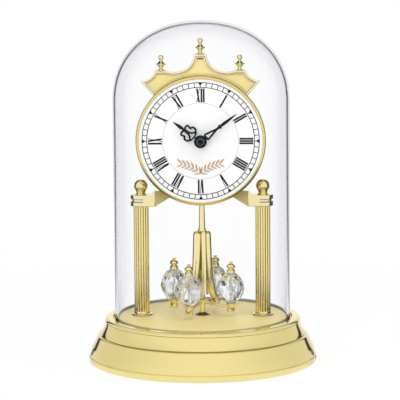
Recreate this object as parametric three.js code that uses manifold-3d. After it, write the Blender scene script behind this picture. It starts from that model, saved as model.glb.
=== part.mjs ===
// Glass dome clock: a turning-pendulum clock on a round brass base, under a glass dome.
// Millimetres, +Z up. The dial faces -Y and the origin is the centre of the underside.

import * as THREE from 'three';
import { mergeVertices } from 'three/addons/utils/BufferGeometryUtils.js';
import Module from 'manifold-3d';

const wasm = await Module();
wasm.setup();

const turn = Math.PI * 2;
const degree = Math.PI / 180;

// Base
const baseRadius = 76.2;
const footRound = 0.7;
const footCrease = 4.1;
const ledgeRadius = 70.4;
const ledgeHeight = 17.6;
const ledgeStep = 1.1;
const ledgeLand = 0.9;
const flareSwell = 3;
const flareRise = 6.9;
const deckTop = 30;
const deckThickness = 3.5;
const rimWidth = 5.2;
const rimDrop = 0.4;
const rimRound = 2.4;
const lipStep = 0.5;
const coveRise = 1.5;
const wallInset = 3.2;
const shelfWidth = 10;
const shelfThickness = 2;
const footWall = 4.2;
const plateSeat = 2.3;
const plateThickness = 3;
const feltThickness = 1.5;
const shellLift = 0.6;

// Glass dome
const domeRadius = 59.2;
const domeWall = 2.5;
const domeHeadroom = 11.6;
const domeCapHeight = 53;
const domeSquareness = 2.15;
const domeClearance = 0.8;

// Columns, tie rods and ball finials
const columnOffset = 40.6;
const columnRadius = 5.1;
const reedCount = 16;
const reedDepth = 0.55;
const reedSteps = 4;
const columnFootRadius = 7.2;
const columnFootHeight = 2;
const columnFootEdge = 0.65;
const rodRadius = 1.9;
const rodClearance = 0.3;
const nutRadius = 3.6;
const nutThickness = 1.8;
const nutClearance = 0.5;
const ballRadius = 4.55;
const ballLift = 5.8;
const ballNeckRadius = 3.3;
const ballNeckHeight = 1.3;
const ballSteps = 7;
const rodGrip = 5;

// Capitals and arms
const capitalRadius = 7;
const capitalHeight = 7.5;
const capitalDrop = 2.8;
const capitalGroove = 1.7;
const capitalGrooveDepth = 1.2;
const capitalSquareReach = 2;
const armCorner = 30.9;
const gussetRise = 3.9;
const gussetSlope = 0.56;
const gussetReach = 17;
const gussetRecede = 11;

// Dial case, bezel and dial
const dialHeight = 148.2;
const dialForward = 15;
const dialThickness = 0.8;
const caseRadius = 41.6;
const caseWall = 1.6;
const caseDepth = 22;
const caseBack = 1.5;
const bezelOverhang = 1.5;
const bezelLap = 0.6;
const bezelDepth = 2.4;
const bezelRound = 0.9;
const bezelSkirt = 2.2;
const fit = 0.3;

// Crest and its finials.
// Turned profiles are (radius, height) pairs from the foot up, as shares of the piece's radius and height.
const crestThickness = 3;
const crestRaise = 1.2;
const crestTopRise = 15.2;
const crestTopHalf = 4.1;
const crestValleyRise = 3.6;
const crestValleyHalf = 16.6;
const crestShoulderRise = 4.4;
const crestShoulderInner = 21.8;
const crestShoulderOuter = 29.6;
const crestTipDrop = 2.5;
const crestTipHalf = 39;
const crestRootBearing = 44 * degree;
const crestBorder = 2.9;
const crestRecess = 0.3;
const crestTipCurl = 1.6;
const crestShoulderCurl = 2;
const crestTopCurl = 1.1;
const crestArcSteps = 14;
const finialHeight = 10.4;
const finialRadius = 3.5;
const finialProfile = [
  [0.71, 0], [0.57, 0.1], [0.31, 0.22], [0.31, 0.28], [1, 0.4], [0.7, 0.55], [0.24, 0.7], [0.24, 0.73],
  [0.4, 0.87], [0.24, 0.96],
];

// Hands.
// Outlines are (half width, reach) pairs of the right half, as shares of the hand's length.
const handThickness = 0.6;
const handGap = 1;
const handHubRadius = 4.25;
const hourHandLength = 22.7;
const hourOutline = [[0.08, 0], [0.08, 0.46], [0.043, 0.55], [0.085, 0.635]];
const hourWindow = [[0.04, 0.215], [0.04, 0.33]];
const hourLobeReach = 10.4;
const hourLobeRadius = 2.95;
const hourLobeHole = 1.6;
const minuteHandLength = 30.7;
const minuteOutline = [[0.07, 0], [0.07, 0.11], [0.024, 0.45], [0.044, 0.53], [0.02, 0.57], [0.04, 0.67]];
const minuteWindow = [[0.042, 0.166]];
const minuteWindowTip = 0.42;
const hourHandAngle = 305 * degree;
const minuteHandAngle = 52.5 * degree;
const capRadius = 2.9;
const capHeight = 2.3;
const capProfile = [[1, 0], [1, 0.4], [0.75, 0.8]];
const capGrip = 1.4;
const handFit = 0.1;

// Movement housing
const movementWidth = 60;
const movementHeight = 48;
const movementDepth = 19.7;
const movementWall = 1.5;
const coverThickness = 1.5;
const bayWidth = 22;
const bayDrop = 13;
const shelfWeb = 1;
const bushRadius = 3;
const bushLength = 2;
const pipeRadius = 1.9;
const pipeWall = 0.5;
const arborRadius = 1.2;
const arborTailRadius = 0.8;
const pivotRadius = 0.5;
const pivotClearance = 0.08;
const pivotDepth = 1;
const bearingWall = 0.6;
const runningGap = 0.2;
const dialNutRadius = 4.2;
const dialNutHeight = 1.6;

// Battery and contacts
const batteryLength = 50.5;
const batteryRadius = 7.25;
const batteryClearance = 0.35;
const batteryBack = 0.6;
const batteryTipRadius = 2.6;
const batteryTipLength = 1.2;
const contactThickness = 0.5;
const contactRadius = 6;
const contactFlare = 0.6;
const springRadius = 4.2;

// Wheel train, front layer to back layer
const wheelThickness = 0.9;
const layerPitch = 1.5;
const layerStart = 0.5;
const layerCount = 6;
const hourLayer = 0;
const minuteLayer = 1;
const centreLayer = 2;
const toothRise = 0.5;
const toothDrop = 0.95;
const motionModule = 0.5;
const cannonTeeth = 12;
const minuteWheelTeeth = 36;
const minutePinionTeeth = 10;
const hourWheelTeeth = 40;
const knobTeeth = 12;
const trainModule = 0.3;
const pinionTeeth = 8;
const centreTeeth = 64;
const thirdTeeth = 60;
const secondsTeeth = 48;
const intermediateTeeth = 40;
const minuteWheelBearing = 210 * degree;
const knobBearing = 270 * degree;
const thirdBearing = -20 * degree;
const secondsBearing = -40 * degree;
const intermediateBearing = -150 * degree;
const rotorBearing = -165 * degree;
const knobRadius = 5;
const knobHeight = 3.5;
const knobGap = 0.5;

// Bridge, motor and circuit board
const bridgeThickness = 1.2;
const pillarRadius = 1.2;
const pillarMargin = 0.25;
const bridgeMargin = 2.5;
const rotorRadius = 3;
const rotorLength = 2.4;
const rotorGap = 0.4;
const statorThickness = 1.2;
const statorBand = 2.1;
const statorGap = 2.8;
const coreWidth = 3;
const coreOffset = 22.5;
const coreTop = -4;
const coreBottom = -21.5;
const coilRadius = 3.2;
const coilClearance = 0.2;
const boardWidth = 14;
const boardHeight = 25;
const boardThickness = 0.8;

// Pendulum drive
const swivelRadius = 1.6;
const swivelCollarRadius = 3.4;
const swivelCollarHeight = 1;
const swivelPinRadius = 0.9;
const swivelPinLength = 3.6;
const magnetRadius = 5;
const magnetHeight = 3;
const driveCoilRadius = 4.8;
const driveCoilHeight = 2.5;
const driveAirGap = 0.6;
const caseHoleClearance = 1;

// Pendulum
const pendulumTurn = -23 * degree;
const armCount = 4;
const armRadius = 21;
const armTipReach = 6.2;
const armTipRise = 3.2;
const armTipCurl = 1.8;
const armBend = 9.5;
const armWidth = 2.2;
const armRootHeight = 4;
const armDepth = 2.1;
const armFall = 4;
const spindleRadius = 1.9;
const spindleTop = 60;
const spindleGrip = 5;
const spindleLift = 0.4;
const crystalBottom = 39.6;
const crystalHeight = 20;
const crystalRadius = 9.3;
const crystalSides = 10;
const crystalBore = 1.2;
const crystalProfile = [
  [0.24, 0], [0.62, 0.18], [0.92, 0.38], [1, 0.56], [0.88, 0.76], [0.6, 0.92], [0.36, 1],
];
const studRadius = 0.9;
const cupRadius = 3.6;
const cupHeight = 1.4;
const stubRadius = 2.7;
const stubBottom = 33.4;
const crystalCapRadius = 2.85;
const crystalCapHeight = 7.5;
const crystalCapGrip = 3;
const crystalCapProfile = [
  [1, 0], [1, 0.14], [0.62, 0.3], [0.9, 0.42], [1, 0.58], [0.75, 0.74], [0.3, 0.8], [0.42, 0.92],
];
const pieceGap = 0.3;
const towerBottom = 38;
const towerTop = 86.7;
const towerTopRadius = 3.2;
const towerLobe = 2.9;
const towerFlare = 9.8;
const towerSwell = 1.3;
const towerFootLobe = 2.2;
const towerSpan = 9;
const towerRings = 9;
const towerRingCrowding = 1.5;
const lobeSides = 10;
const pendulumRodDrop = 0.8;
const pendulumRodRadius = 1.7;
const pendulumRodFoot = 2.1;
const pendulumCollarRadius = 2.9;
const pendulumCollarHeight = 1.8;
const pendulumCoreRadius = 1.3;

// Guide on the deck
const guideRadius = 4.7;
const guideThickness = 0.8;
const guideBossRadius = 3.2;
const guideHeight = 2.2;
const guideFloor = 0.5;
const guideClearance = 0.5;

// Roundness of turned pieces
const hexagonSides = 6;
const wideSides = 36;
const middleSides = 16;
const smallSides = 10;
const pivotSides = 8;
const curveSteps = 4;
const domeSteps = 7;
const weldDistance = 1e-4;
const cutMargin = 1;

// Places that follow from the sizes
const domeInner = domeRadius - domeWall;
const deckRadius = domeInner - domeClearance;
const rimInner = domeRadius + domeClearance;
const rimRadius = rimInner + rimWidth;
const rimTop = deckTop - rimDrop;
const lipHeight = rimTop - rimRound;
const grooveFloor = deckTop - deckThickness;
const plateRadius = baseRadius - footWall;
const plateTop = feltThickness + plateThickness;
const rodHole = rodRadius + rodClearance;
const columnBottom = deckTop + columnFootHeight;
const columnTop = dialHeight - caseRadius - capitalDrop;
const capitalTop = columnTop + capitalHeight;
const ballCentre = capitalTop + ballLift;
const dialFront = -dialForward;
const dialBack = dialFront + dialThickness;
const caseEnd = dialBack + caseDepth;
const caseInner = caseRadius - caseWall;
const bezelRadius = caseRadius + bezelOverhang;
const bezelOpening = caseRadius - bezelLap;
const bezelBack = dialBack + bezelSkirt;
const bezelFront = dialFront - bezelDepth;
const crestBack = bezelBack + crestThickness;
const crestFront = bezelBack - crestRaise;
const crestMiddle = (crestBack + crestFront) / 2;
const crestTop = caseRadius + crestTopRise;
const crestValley = caseRadius + crestValleyRise;
const crestShoulder = caseRadius + crestShoulderRise;
const crestTipHeight = caseRadius - crestTipDrop;
const domeTop = dialHeight + crestTop + finialHeight + domeHeadroom;
const movementFloor = dialBack + movementWall;
const coverFront = dialBack + movementDepth;
const coverBack = coverFront + coverThickness;
const halfWidth = movementWidth / 2;
const halfHeight = movementHeight / 2;
const bayBottom = -halfHeight - bayDrop;
const bayFloor = bayBottom + movementWall;
const bushHole = pipeRadius + runningGap;
const bushFront = dialFront - bushLength;
const hourHandFront = bushFront - handGap - handThickness;
const minuteHandFront = hourHandFront - handGap - handThickness;
const batteryHeight = halfHeight - movementWall - batteryClearance - batteryRadius;
const trainFront = movementFloor + layerStart;
const pivotHole = pivotRadius + pivotClearance;
const bridgeFront = trainFront + layerCount * layerPitch;
const bridgeBack = bridgeFront + bridgeThickness;
const statorFront = bridgeBack + statorGap;
const motorCentre = statorFront + statorThickness / 2;
const swivelBottom = -caseRadius - pendulumRodDrop;
const pendulumRodTop = dialHeight + swivelBottom;
const bayShelf = -halfHeight;
const magnetTop = bayShelf - shelfWeb - driveCoilHeight - driveAirGap;
const crystalTop = crystalBottom + crystalHeight;
const cupTop = crystalBottom - pieceGap;
const cupBottom = cupTop - cupHeight;
const crystalCapBottom = crystalTop + pieceGap;

// Wheel centres on the dial plane, seen from the front
const motionDistance = motionModule * (cannonTeeth + minuteWheelTeeth) / 2;
const hourModule = 2 * motionDistance / (minutePinionTeeth + hourWheelTeeth);
const centrePlace = new THREE.Vector2(0, 0);
const minuteWheelPlace = stepFrom(centrePlace, motionDistance, minuteWheelBearing);
const knobPlace = stepFrom(minuteWheelPlace, motionModule * (minuteWheelTeeth + knobTeeth) / 2, knobBearing);
const thirdPlace = stepFrom(centrePlace, trainDistance(centreTeeth), thirdBearing);
const secondsPlace = stepFrom(thirdPlace, trainDistance(thirdTeeth), secondsBearing);
const intermediatePlace = stepFrom(secondsPlace, trainDistance(secondsTeeth), intermediateBearing);
const rotorPlace = stepFrom(intermediatePlace, trainDistance(intermediateTeeth), rotorBearing);

function stepFrom(place, distance, bearing) {
  return new THREE.Vector2(distance * Math.cos(bearing), distance * Math.sin(bearing)).add(place);
}

function trainDistance(wheelTeeth) {
  return trainModule * (wheelTeeth + pinionTeeth) / 2;
}

// Mesh and boolean helpers

function signedVolume(position, index) {
  const [a, b, c] = [new THREE.Vector3(), new THREE.Vector3(), new THREE.Vector3()];
  let sum = 0;
  for (let i = 0; i < index.length; i += 3) {
    a.fromBufferAttribute(position, index[i]);
    b.fromBufferAttribute(position, index[i + 1]);
    c.fromBufferAttribute(position, index[i + 2]);
    sum += a.dot(b.cross(c)) / 6;
  }
  return sum;
}

// Merges shared corners, drops triangles without area and turns the faces outwards.
function weld(geometry) {
  const plain = geometry.clone();
  plain.deleteAttribute('normal');
  plain.deleteAttribute('uv');
  const merged = mergeVertices(plain, weldDistance);
  const corners = merged.index.array;
  const kept = [];
  for (let i = 0; i < corners.length; i += 3) {
    const [a, b, c] = corners.slice(i, i + 3);
    if (a !== b && b !== c && c !== a) {
      kept.push(a, b, c);
    }
  }
  if (signedVolume(merged.attributes.position, kept) < 0) {
    kept.reverse();
  }
  merged.setIndex(kept);
  merged.computeVertexNormals();
  return merged;
}

function toSolid(geometry) {
  const welded = weld(geometry);
  return new wasm.Manifold(new wasm.Mesh({
    numProp: 3,
    vertProperties: new Float32Array(welded.attributes.position.array),
    triVerts: new Uint32Array(welded.index.array),
  }));
}

function toGeometry(solid) {
  const mesh = solid.getMesh();
  const geometry = new THREE.BufferGeometry();
  geometry.setAttribute('position', new THREE.BufferAttribute(mesh.vertProperties, 3));
  geometry.setIndex(new THREE.BufferAttribute(mesh.triVerts, 1));
  return geometry;
}

function join(...pieces) {
  return toGeometry(pieces.map(toSolid).reduce((whole, next) => whole.add(next)));
}

function cut(piece, ...tools) {
  return toGeometry(tools.map(toSolid).reduce((whole, tool) => whole.subtract(tool), toSolid(piece)));
}

function overlap(piece, other) {
  return toGeometry(toSolid(piece).intersect(toSolid(other)));
}

// Shape helpers

function points(...pairs) {
  return pairs.map(([x, y]) => new THREE.Vector2(x, y));
}

function polygon(...pairs) {
  return new THREE.Shape(points(...pairs));
}

function rectangle(left, bottom, right, top) {
  return polygon([left, bottom], [right, bottom], [right, top], [left, top]);
}

function circle(radius, sides, x = 0, y = 0) {
  return polygon(...levelRing(sides, radius, 0, 0, x, y).map((point) => [point.x, point.y]));
}

function withHoles(shape, ...holes) {
  shape.holes.push(...holes);
  return shape;
}

function extrude(shape, depth) {
  return new THREE.ExtrudeGeometry(shape, { depth, bevelEnabled: false, curveSegments: curveSteps });
}

// A flat piece drawn from above, standing from low to high.
function standing(shape, low, high) {
  return extrude(shape, high - low).translate(0, 0, low);
}

// A flat piece drawn from the front, reaching from the front place to the back place.
function facing(shape, front, back) {
  return extrude(shape, back - front).rotateX(Math.PI / 2).translate(0, back, 0);
}

// A turned piece about the upright axis, from (radius, height) pairs.
function turned(pairs, sides) {
  return new THREE.LatheGeometry(points(...pairs), sides).rotateX(Math.PI / 2);
}

// A turned piece about the axis that runs from front to back, from (radius, depth) pairs.
function turnedFacing(pairs, sides) {
  return new THREE.LatheGeometry(points(...pairs), sides);
}

function closed(pairs) {
  return [...pairs, pairs[0]];
}

function pairsOf(path, divisions) {
  return path.getPoints(divisions).map((point) => [point.x, point.y]);
}

// A profile given in shares, as (radius, height) pairs that rise from the foot.
function scaled(profile, radius, foot, height) {
  return profile.map(([width, rise]) => [width * radius, foot + rise * height]);
}

function post(radius, low, high, x = 0, sides = smallSides) {
  return standing(circle(radius, sides, x), low, high);
}

function pin(radius, front, back, place = centrePlace, sides = smallSides) {
  return facing(circle(radius, sides, place.x, place.y), front, back);
}

// Moves each side of a closed outline inwards by the same distance.
function inset(pairs, distance) {
  const corners = points(...pairs);
  return corners.map((corner, i) => {
    const before = corners.at(i - 1);
    const after = corners[(i + 1) % corners.length];
    const into = (from, to) => new THREE.Vector2(from.y - to.y, to.x - from.x).normalize();
    const [first, second] = [into(before, corner), into(corner, after)];
    const reach = distance / (1 + first.dot(second));
    return [corner.x + (first.x + second.x) * reach, corner.y + (first.y + second.y) * reach];
  });
}

// Stacked rings of points, closed by flat ends.
function loft(rings) {
  const count = rings[0].length;
  const corners = rings.flat();
  const index = [];
  for (let level = 0; level + 1 < rings.length; level += 1) {
    for (let i = 0; i < count; i += 1) {
      const next = (i + 1) % count;
      const [low, high] = [level * count, (level + 1) * count];
      index.push(low + i, low + next, high + i);
      index.push(high + i, low + next, high + next);
    }
  }
  const last = (rings.length - 1) * count;
  for (let i = 1; i + 1 < count; i += 1) {
    index.push(0, i + 1, i);
    index.push(last, last + i, last + i + 1);
  }
  const geometry = new THREE.BufferGeometry().setFromPoints(corners);
  geometry.setIndex(index);
  return geometry;
}

function levelRing(count, radius, height, phase, x = 0, y = 0) {
  return Array.from({ length: count }, (_, i) => {
    const angle = phase + i * turn / count;
    return new THREE.Vector3(x + radius * Math.cos(angle), y + radius * Math.sin(angle), height);
  });
}

// Looks

const polishedBrass = { color: 0xe8cf86, roughness: 0.12, metalness: 1 };
const satinBrass = { color: 0xdcc378, roughness: 0.32, metalness: 1 };
const trainBrass = { color: 0xc9a24a, roughness: 0.35, metalness: 1 };
const steel = { color: 0xb9bcc0, roughness: 0.35, metalness: 1 };
const darkMagnet = { color: 0x55585c, roughness: 0.5, metalness: 0.8 };
const copper = { color: 0xb5652d, roughness: 0.4, metalness: 1 };
const blackPlastic = { color: 0x17181a, roughness: 0.5, metalness: 0 };
const whitePlastic = { color: 0xe9e6dc, roughness: 0.5, metalness: 0 };
const handBlack = { color: 0x10131c, roughness: 0.2, metalness: 0.2 };
const dialWhite = { color: 0xfbfaf6, roughness: 0.45, metalness: 0 };
const boardGreen = { color: 0x2a5b3c, roughness: 0.55, metalness: 0 };
const batterySleeve = { color: 0x3b4a6b, roughness: 0.4, metalness: 0.1 };
const felt = { color: 0x2f4634, roughness: 0.95, metalness: 0 };
const glass = { color: 0xf2f6f8, roughness: 0.02, metalness: 0, transparent: true, opacity: 0.2 };
const crystal = { color: 0xf4f6f8, roughness: 0.03, metalness: 0, transparent: true, opacity: 0.45 };

const clock = new THREE.Group();
const pendulum = new THREE.Group();
const movement = new THREE.Group();
pendulum.rotation.z = pendulumTurn;
movement.position.z = dialHeight;
clock.add(pendulum, movement);

function add(parent, name, geometry, look) {
  const mesh = new THREE.Mesh(weld(geometry), new THREE.MeshStandardMaterial(look));
  mesh.name = name;
  parent.add(mesh);
  return mesh;
}

const flanks = [['left', -1], ['right', 1]];

// Base shell: rounded rim, cove, ledge, flared skirt and foot, hollow from below
function makeBaseShell() {
  const outline = new THREE.Path();
  const shelfBottom = grooveFloor - shelfThickness;
  outline.moveTo(rimInner, grooveFloor);
  outline.lineTo(rimInner, rimTop);
  outline.lineTo(rimRadius - rimRound, rimTop);
  outline.quadraticCurveTo(rimRadius, rimTop, rimRadius, lipHeight);
  outline.lineTo(rimRadius - lipStep, lipHeight - lipStep);
  outline.quadraticCurveTo(rimRadius, ledgeHeight + coveRise, ledgeRadius - ledgeLand, ledgeHeight);
  outline.lineTo(ledgeRadius, ledgeHeight);
  outline.lineTo(ledgeRadius, ledgeHeight - ledgeStep);
  outline.quadraticCurveTo(
    ledgeRadius + flareSwell, footCrease + flareRise, baseRadius - footRound, footCrease);
  outline.lineTo(baseRadius, footCrease - footRound);
  outline.lineTo(baseRadius, shellLift + footRound);
  outline.lineTo(baseRadius - footRound, shellLift);
  outline.lineTo(plateRadius + fit, shellLift);
  outline.lineTo(plateRadius + fit, plateTop);
  outline.lineTo(plateRadius - plateSeat, plateTop);
  outline.lineTo(ledgeRadius - wallInset, ledgeHeight - ledgeStep - fit);
  outline.lineTo(rimInner, shelfBottom);
  outline.lineTo(rimInner - shelfWidth, shelfBottom);
  outline.lineTo(rimInner - shelfWidth, grooveFloor);
  outline.lineTo(rimInner, grooveFloor);
  add(clock, 'base_shell', turned(pairsOf(outline, curveSteps), wideSides), polishedBrass);
}

function columnHoles(radius) {
  return flanks.map(([, side]) => circle(radius, smallSides, side * columnOffset));
}

function makeBaseInside() {
  const deck = withHoles(circle(deckRadius, wideSides), ...columnHoles(rodHole));
  add(clock, 'base_deck', standing(deck, grooveFloor, deckTop), satinBrass);

  const plate = withHoles(circle(plateRadius, wideSides), ...columnHoles(rodHole));
  const pockets = flanks.map(([, side]) => post(
    nutRadius + nutClearance, feltThickness - cutMargin, feltThickness + nutThickness + runningGap,
    side * columnOffset));
  add(clock, 'bottom_plate', cut(standing(plate, feltThickness, plateTop), ...pockets), steel);
  add(clock, 'felt_pad', standing(circle(plateRadius, wideSides), 0, feltThickness), felt);

  const guideHole = spindleRadius + guideClearance;
  const guide = [
    [0, deckTop], [guideRadius, deckTop], [guideRadius, deckTop + guideThickness],
    [guideBossRadius, deckTop + guideThickness], [guideBossRadius, deckTop + guideHeight],
    [guideHole, deckTop + guideHeight], [guideHole, deckTop + guideFloor], [0, deckTop + guideFloor],
  ];
  add(clock, 'pendulum_guide', turned(guide, middleSides), polishedBrass);
}

// Glass dome: straight wall and a cap that is a little squarer than a half ellipse
function domeArc(radius, height) {
  const spring = domeTop - domeCapHeight;
  return Array.from({ length: domeSteps + 1 }, (_, i) => {
    const angle = i / domeSteps * Math.PI / 2;
    const across = i === domeSteps ? 0 : radius * Math.cos(angle) ** (2 / domeSquareness);
    return [across, spring + height * Math.sin(angle) ** (2 / domeSquareness)];
  });
}

function makeDome() {
  const inner = domeArc(domeInner, domeCapHeight - domeWall).reverse();
  const outer = domeArc(domeRadius, domeCapHeight);
  const profile = [...inner, [domeInner, grooveFloor], [domeRadius, grooveFloor], ...outer];
  add(clock, 'glass_dome', turned(profile, wideSides), glass);
}

// Columns with their feet, tie rods, nuts and ball finials
function reededOutline() {
  const steps = reedCount * reedSteps;
  const outline = Array.from({ length: steps }, (_, i) => {
    const wave = Math.abs(Math.sin(i / reedSteps * Math.PI));
    const radius = columnRadius - reedDepth * (1 - wave);
    return [radius * Math.cos(i / steps * turn), radius * Math.sin(i / steps * turn)];
  });
  return polygon(...outline);
}

function makeColumn(label, side) {
  const x = side * columnOffset;
  const shaft = withHoles(reededOutline(), circle(rodHole, smallSides));
  add(clock, `column_${label}`, standing(shaft, columnBottom, columnTop), polishedBrass).position.x = x;

  const foot = closed([
    [rodHole, deckTop], [columnFootRadius - columnFootEdge, deckTop],
    [columnFootRadius, deckTop + columnFootEdge],
    [columnFootRadius - columnFootEdge / 2, columnBottom - columnFootEdge],
    [columnRadius, columnBottom], [rodHole, columnBottom],
  ]);
  add(clock, `column_foot_${label}`, turned(foot, middleSides), polishedBrass).position.x = x;

  const rodBottom = feltThickness + runningGap;
  const rodTop = capitalTop + rodGrip;
  add(clock, `tie_rod_${label}`, post(rodRadius, rodBottom, rodTop), steel).position.x = x;

  const nutTop = feltThickness + nutThickness + runningGap;
  const nut = withHoles(circle(nutRadius, hexagonSides), circle(rodHole, smallSides));
  add(clock, `tie_nut_${label}`, standing(nut, nutTop - nutThickness, nutTop), steel).position.x = x;

  const ballStart = Math.acos(ballNeckRadius / ballRadius);
  const ball = Array.from({ length: ballSteps }, (_, i) => {
    const angle = -ballStart + i / ballSteps * (Math.PI / 2 + ballStart);
    return [ballRadius * Math.cos(angle), ballCentre + ballRadius * Math.sin(angle)];
  });
  const finial = [
    [0, rodTop + fit], [rodHole, rodTop + fit], [rodHole, capitalTop], [ballNeckRadius, capitalTop],
    [ballNeckRadius, capitalTop + ballNeckHeight], ...ball, [0, ballCentre + ballRadius],
  ];
  add(clock, `ball_finial_${label}`, turned(finial, middleSides), polishedBrass).position.x = x;
}

// Dial case: a drum with two side arms that end in grooved capitals, cast in one
function movementOutline(grow) {
  const [side, top] = [halfWidth + grow, halfHeight + grow];
  const [bay, low] = [bayWidth / 2 + grow, bayBottom - grow];
  return polygon(
    [-bay, low], [bay, low], [bay, -top], [side, -top], [side, top],
    [-side, top], [-side, -top], [-bay, -top]);
}

// The slab of a capital seen from above: a round outer end and a straight run inwards.
function capitalOutline(radius, inner) {
  const outline = new THREE.Shape();
  outline.moveTo(inner, -radius);
  outline.absarc(columnOffset, 0, radius, -Math.PI / 2, Math.PI / 2, false);
  outline.lineTo(inner, radius);
  return outline;
}

function makeArm() {
  const low = columnTop - dialHeight;
  const high = low + capitalHeight;
  const slab = (capitalHeight - capitalGroove) / 2;
  const block = capitalOutline(capitalRadius, armCorner);
  const core = capitalOutline(capitalRadius - capitalGrooveDepth, armCorner);
  const square = rectangle(armCorner, -capitalRadius, columnOffset - capitalSquareReach, capitalRadius);
  const gussetInner = armCorner - gussetReach;
  const gussetTop = high + gussetRise;
  const elevation = polygon(
    [armCorner, low], [armCorner, gussetTop], [gussetInner, gussetTop],
    [gussetInner, low + gussetReach * gussetSlope]);
  const plan = polygon(
    [armCorner, -capitalRadius], [armCorner, capitalRadius], [gussetInner, capitalRadius],
    [gussetInner, gussetRecede - capitalRadius]);
  const gusset = overlap(
    facing(elevation, -capitalRadius - cutMargin, capitalRadius + cutMargin),
    standing(plan, low - cutMargin, gussetTop + cutMargin));
  const drumInside = pin(caseInner, -caseDepth, caseDepth, centrePlace, wideSides);
  const arm = join(
    standing(block, low, low + slab),
    standing(core, low, high),
    standing(block, high - slab, high),
    standing(square, low, high),
    cut(gusset, drumInside));
  const bore = post(rodHole, low - cutMargin, high + cutMargin, columnOffset);
  return cut(arm, bore);
}

function makeDialCase() {
  const wall = withHoles(circle(caseRadius, wideSides), circle(caseInner, wideSides));
  const back = withHoles(circle((caseRadius + caseInner) / 2, wideSides), movementOutline(fit));
  const arm = makeArm();
  const drum = join(
    facing(wall, dialBack, caseEnd),
    facing(back, caseEnd - caseBack, caseEnd),
    arm,
    arm.clone().rotateZ(Math.PI));
  const rodPassage = post(swivelRadius + caseHoleClearance, -caseRadius - cutMargin, -halfHeight);
  add(movement, 'dial_case', cut(drum, rodPassage), polishedBrass);
}

function makeDialAndBezel() {
  const dial = withHoles(circle(caseRadius, wideSides), circle(bushRadius + fit, middleSides));
  add(movement, 'dial', facing(dial, dialFront, dialBack), dialWhite);

  const bezel = closed([
    [bezelOpening, dialFront], [bezelOpening, bezelFront + bezelRound],
    [bezelOpening + bezelRound, bezelFront], [bezelRadius - bezelRound, bezelFront],
    [bezelRadius, bezelFront + bezelRound], [bezelRadius, bezelBack],
    [caseRadius + fit, bezelBack], [caseRadius + fit, dialFront],
  ]);
  add(movement, 'bezel', turnedFacing(bezel, wideSides), polishedBrass);

  const nut = withHoles(circle(dialNutRadius, hexagonSides), circle(bushRadius + fit, middleSides));
  add(movement, 'dial_nut', facing(nut, dialFront - dialNutHeight, dialFront), steel);
}

// Crest: an arched plate with a raised border round a sunk panel, and three turned finials.
// The right half of its outline runs from the root on the drum to the top, and is mirrored.
function crestOutline(drumRadius) {
  const half = new THREE.Path();
  half.moveTo(drumRadius * Math.cos(crestRootBearing), drumRadius * Math.sin(crestRootBearing));
  half.lineTo(crestTipHalf, crestTipHeight);
  half.quadraticCurveTo(
    crestShoulderOuter + crestTipCurl, crestTipHeight + crestTipCurl, crestShoulderOuter, crestShoulder);
  half.lineTo(crestShoulderInner, crestShoulder);
  half.quadraticCurveTo(
    crestShoulderInner - crestShoulderCurl, crestValley, crestValleyHalf, crestValley);
  half.quadraticCurveTo(crestTopHalf + crestTopCurl, crestValley + crestTopCurl, crestTopHalf, crestTop);
  const right = pairsOf(half, curveSteps);
  const left = right.map(([x, z]) => [-x, z]).reverse();
  const arc = Array.from({ length: crestArcSteps - 1 }, (_, i) => {
    const angle = Math.PI - crestRootBearing - (i + 1) / crestArcSteps * (Math.PI - 2 * crestRootBearing);
    return [drumRadius * Math.cos(angle), drumRadius * Math.sin(angle)];
  });
  return [...right, ...left, ...arc];
}

function makeCrest() {
  const plate = polygon(...crestOutline(caseRadius + fit));
  const raised = polygon(...crestOutline(bezelRadius + fit));
  const panel = polygon(...inset(crestOutline(caseRadius - crestBorder), crestBorder));
  const blank = join(
    facing(plate, bezelBack, crestBack),
    facing(raised, crestFront, bezelBack + crestRecess));
  const sunk = facing(panel, crestFront - cutMargin, bezelBack - crestRecess);
  add(movement, 'crest', cut(blank, sunk), polishedBrass);

  const profile = [[0, 0], ...scaled(finialProfile, finialRadius, 0, finialHeight), [0, finialHeight]];
  const shoulderMiddle = (crestShoulderInner + crestShoulderOuter) / 2;
  const places = [['left', -shoulderMiddle, crestShoulder], ['centre', 0, crestTop],
    ['right', shoulderMiddle, crestShoulder]];
  for (const [label, x, z] of places) {
    add(movement, `crest_finial_${label}`, turned(profile, smallSides), polishedBrass)
      .position.set(x, crestMiddle, z);
  }
}

// Hands: drawn pointing up, then turned clockwise to ten past ten.
// The right half of an outline is mirrored, with a point on the middle line where it has a tip.
function handOutline(half, length, ...tips) {
  const right = half.map(([width, reach]) => [width * length, reach * length]);
  const left = right.map(([x, z]) => [-x, z]).reverse();
  return polygon(...right, ...tips.map((reach) => [0, reach * length]), ...left);
}

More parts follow.
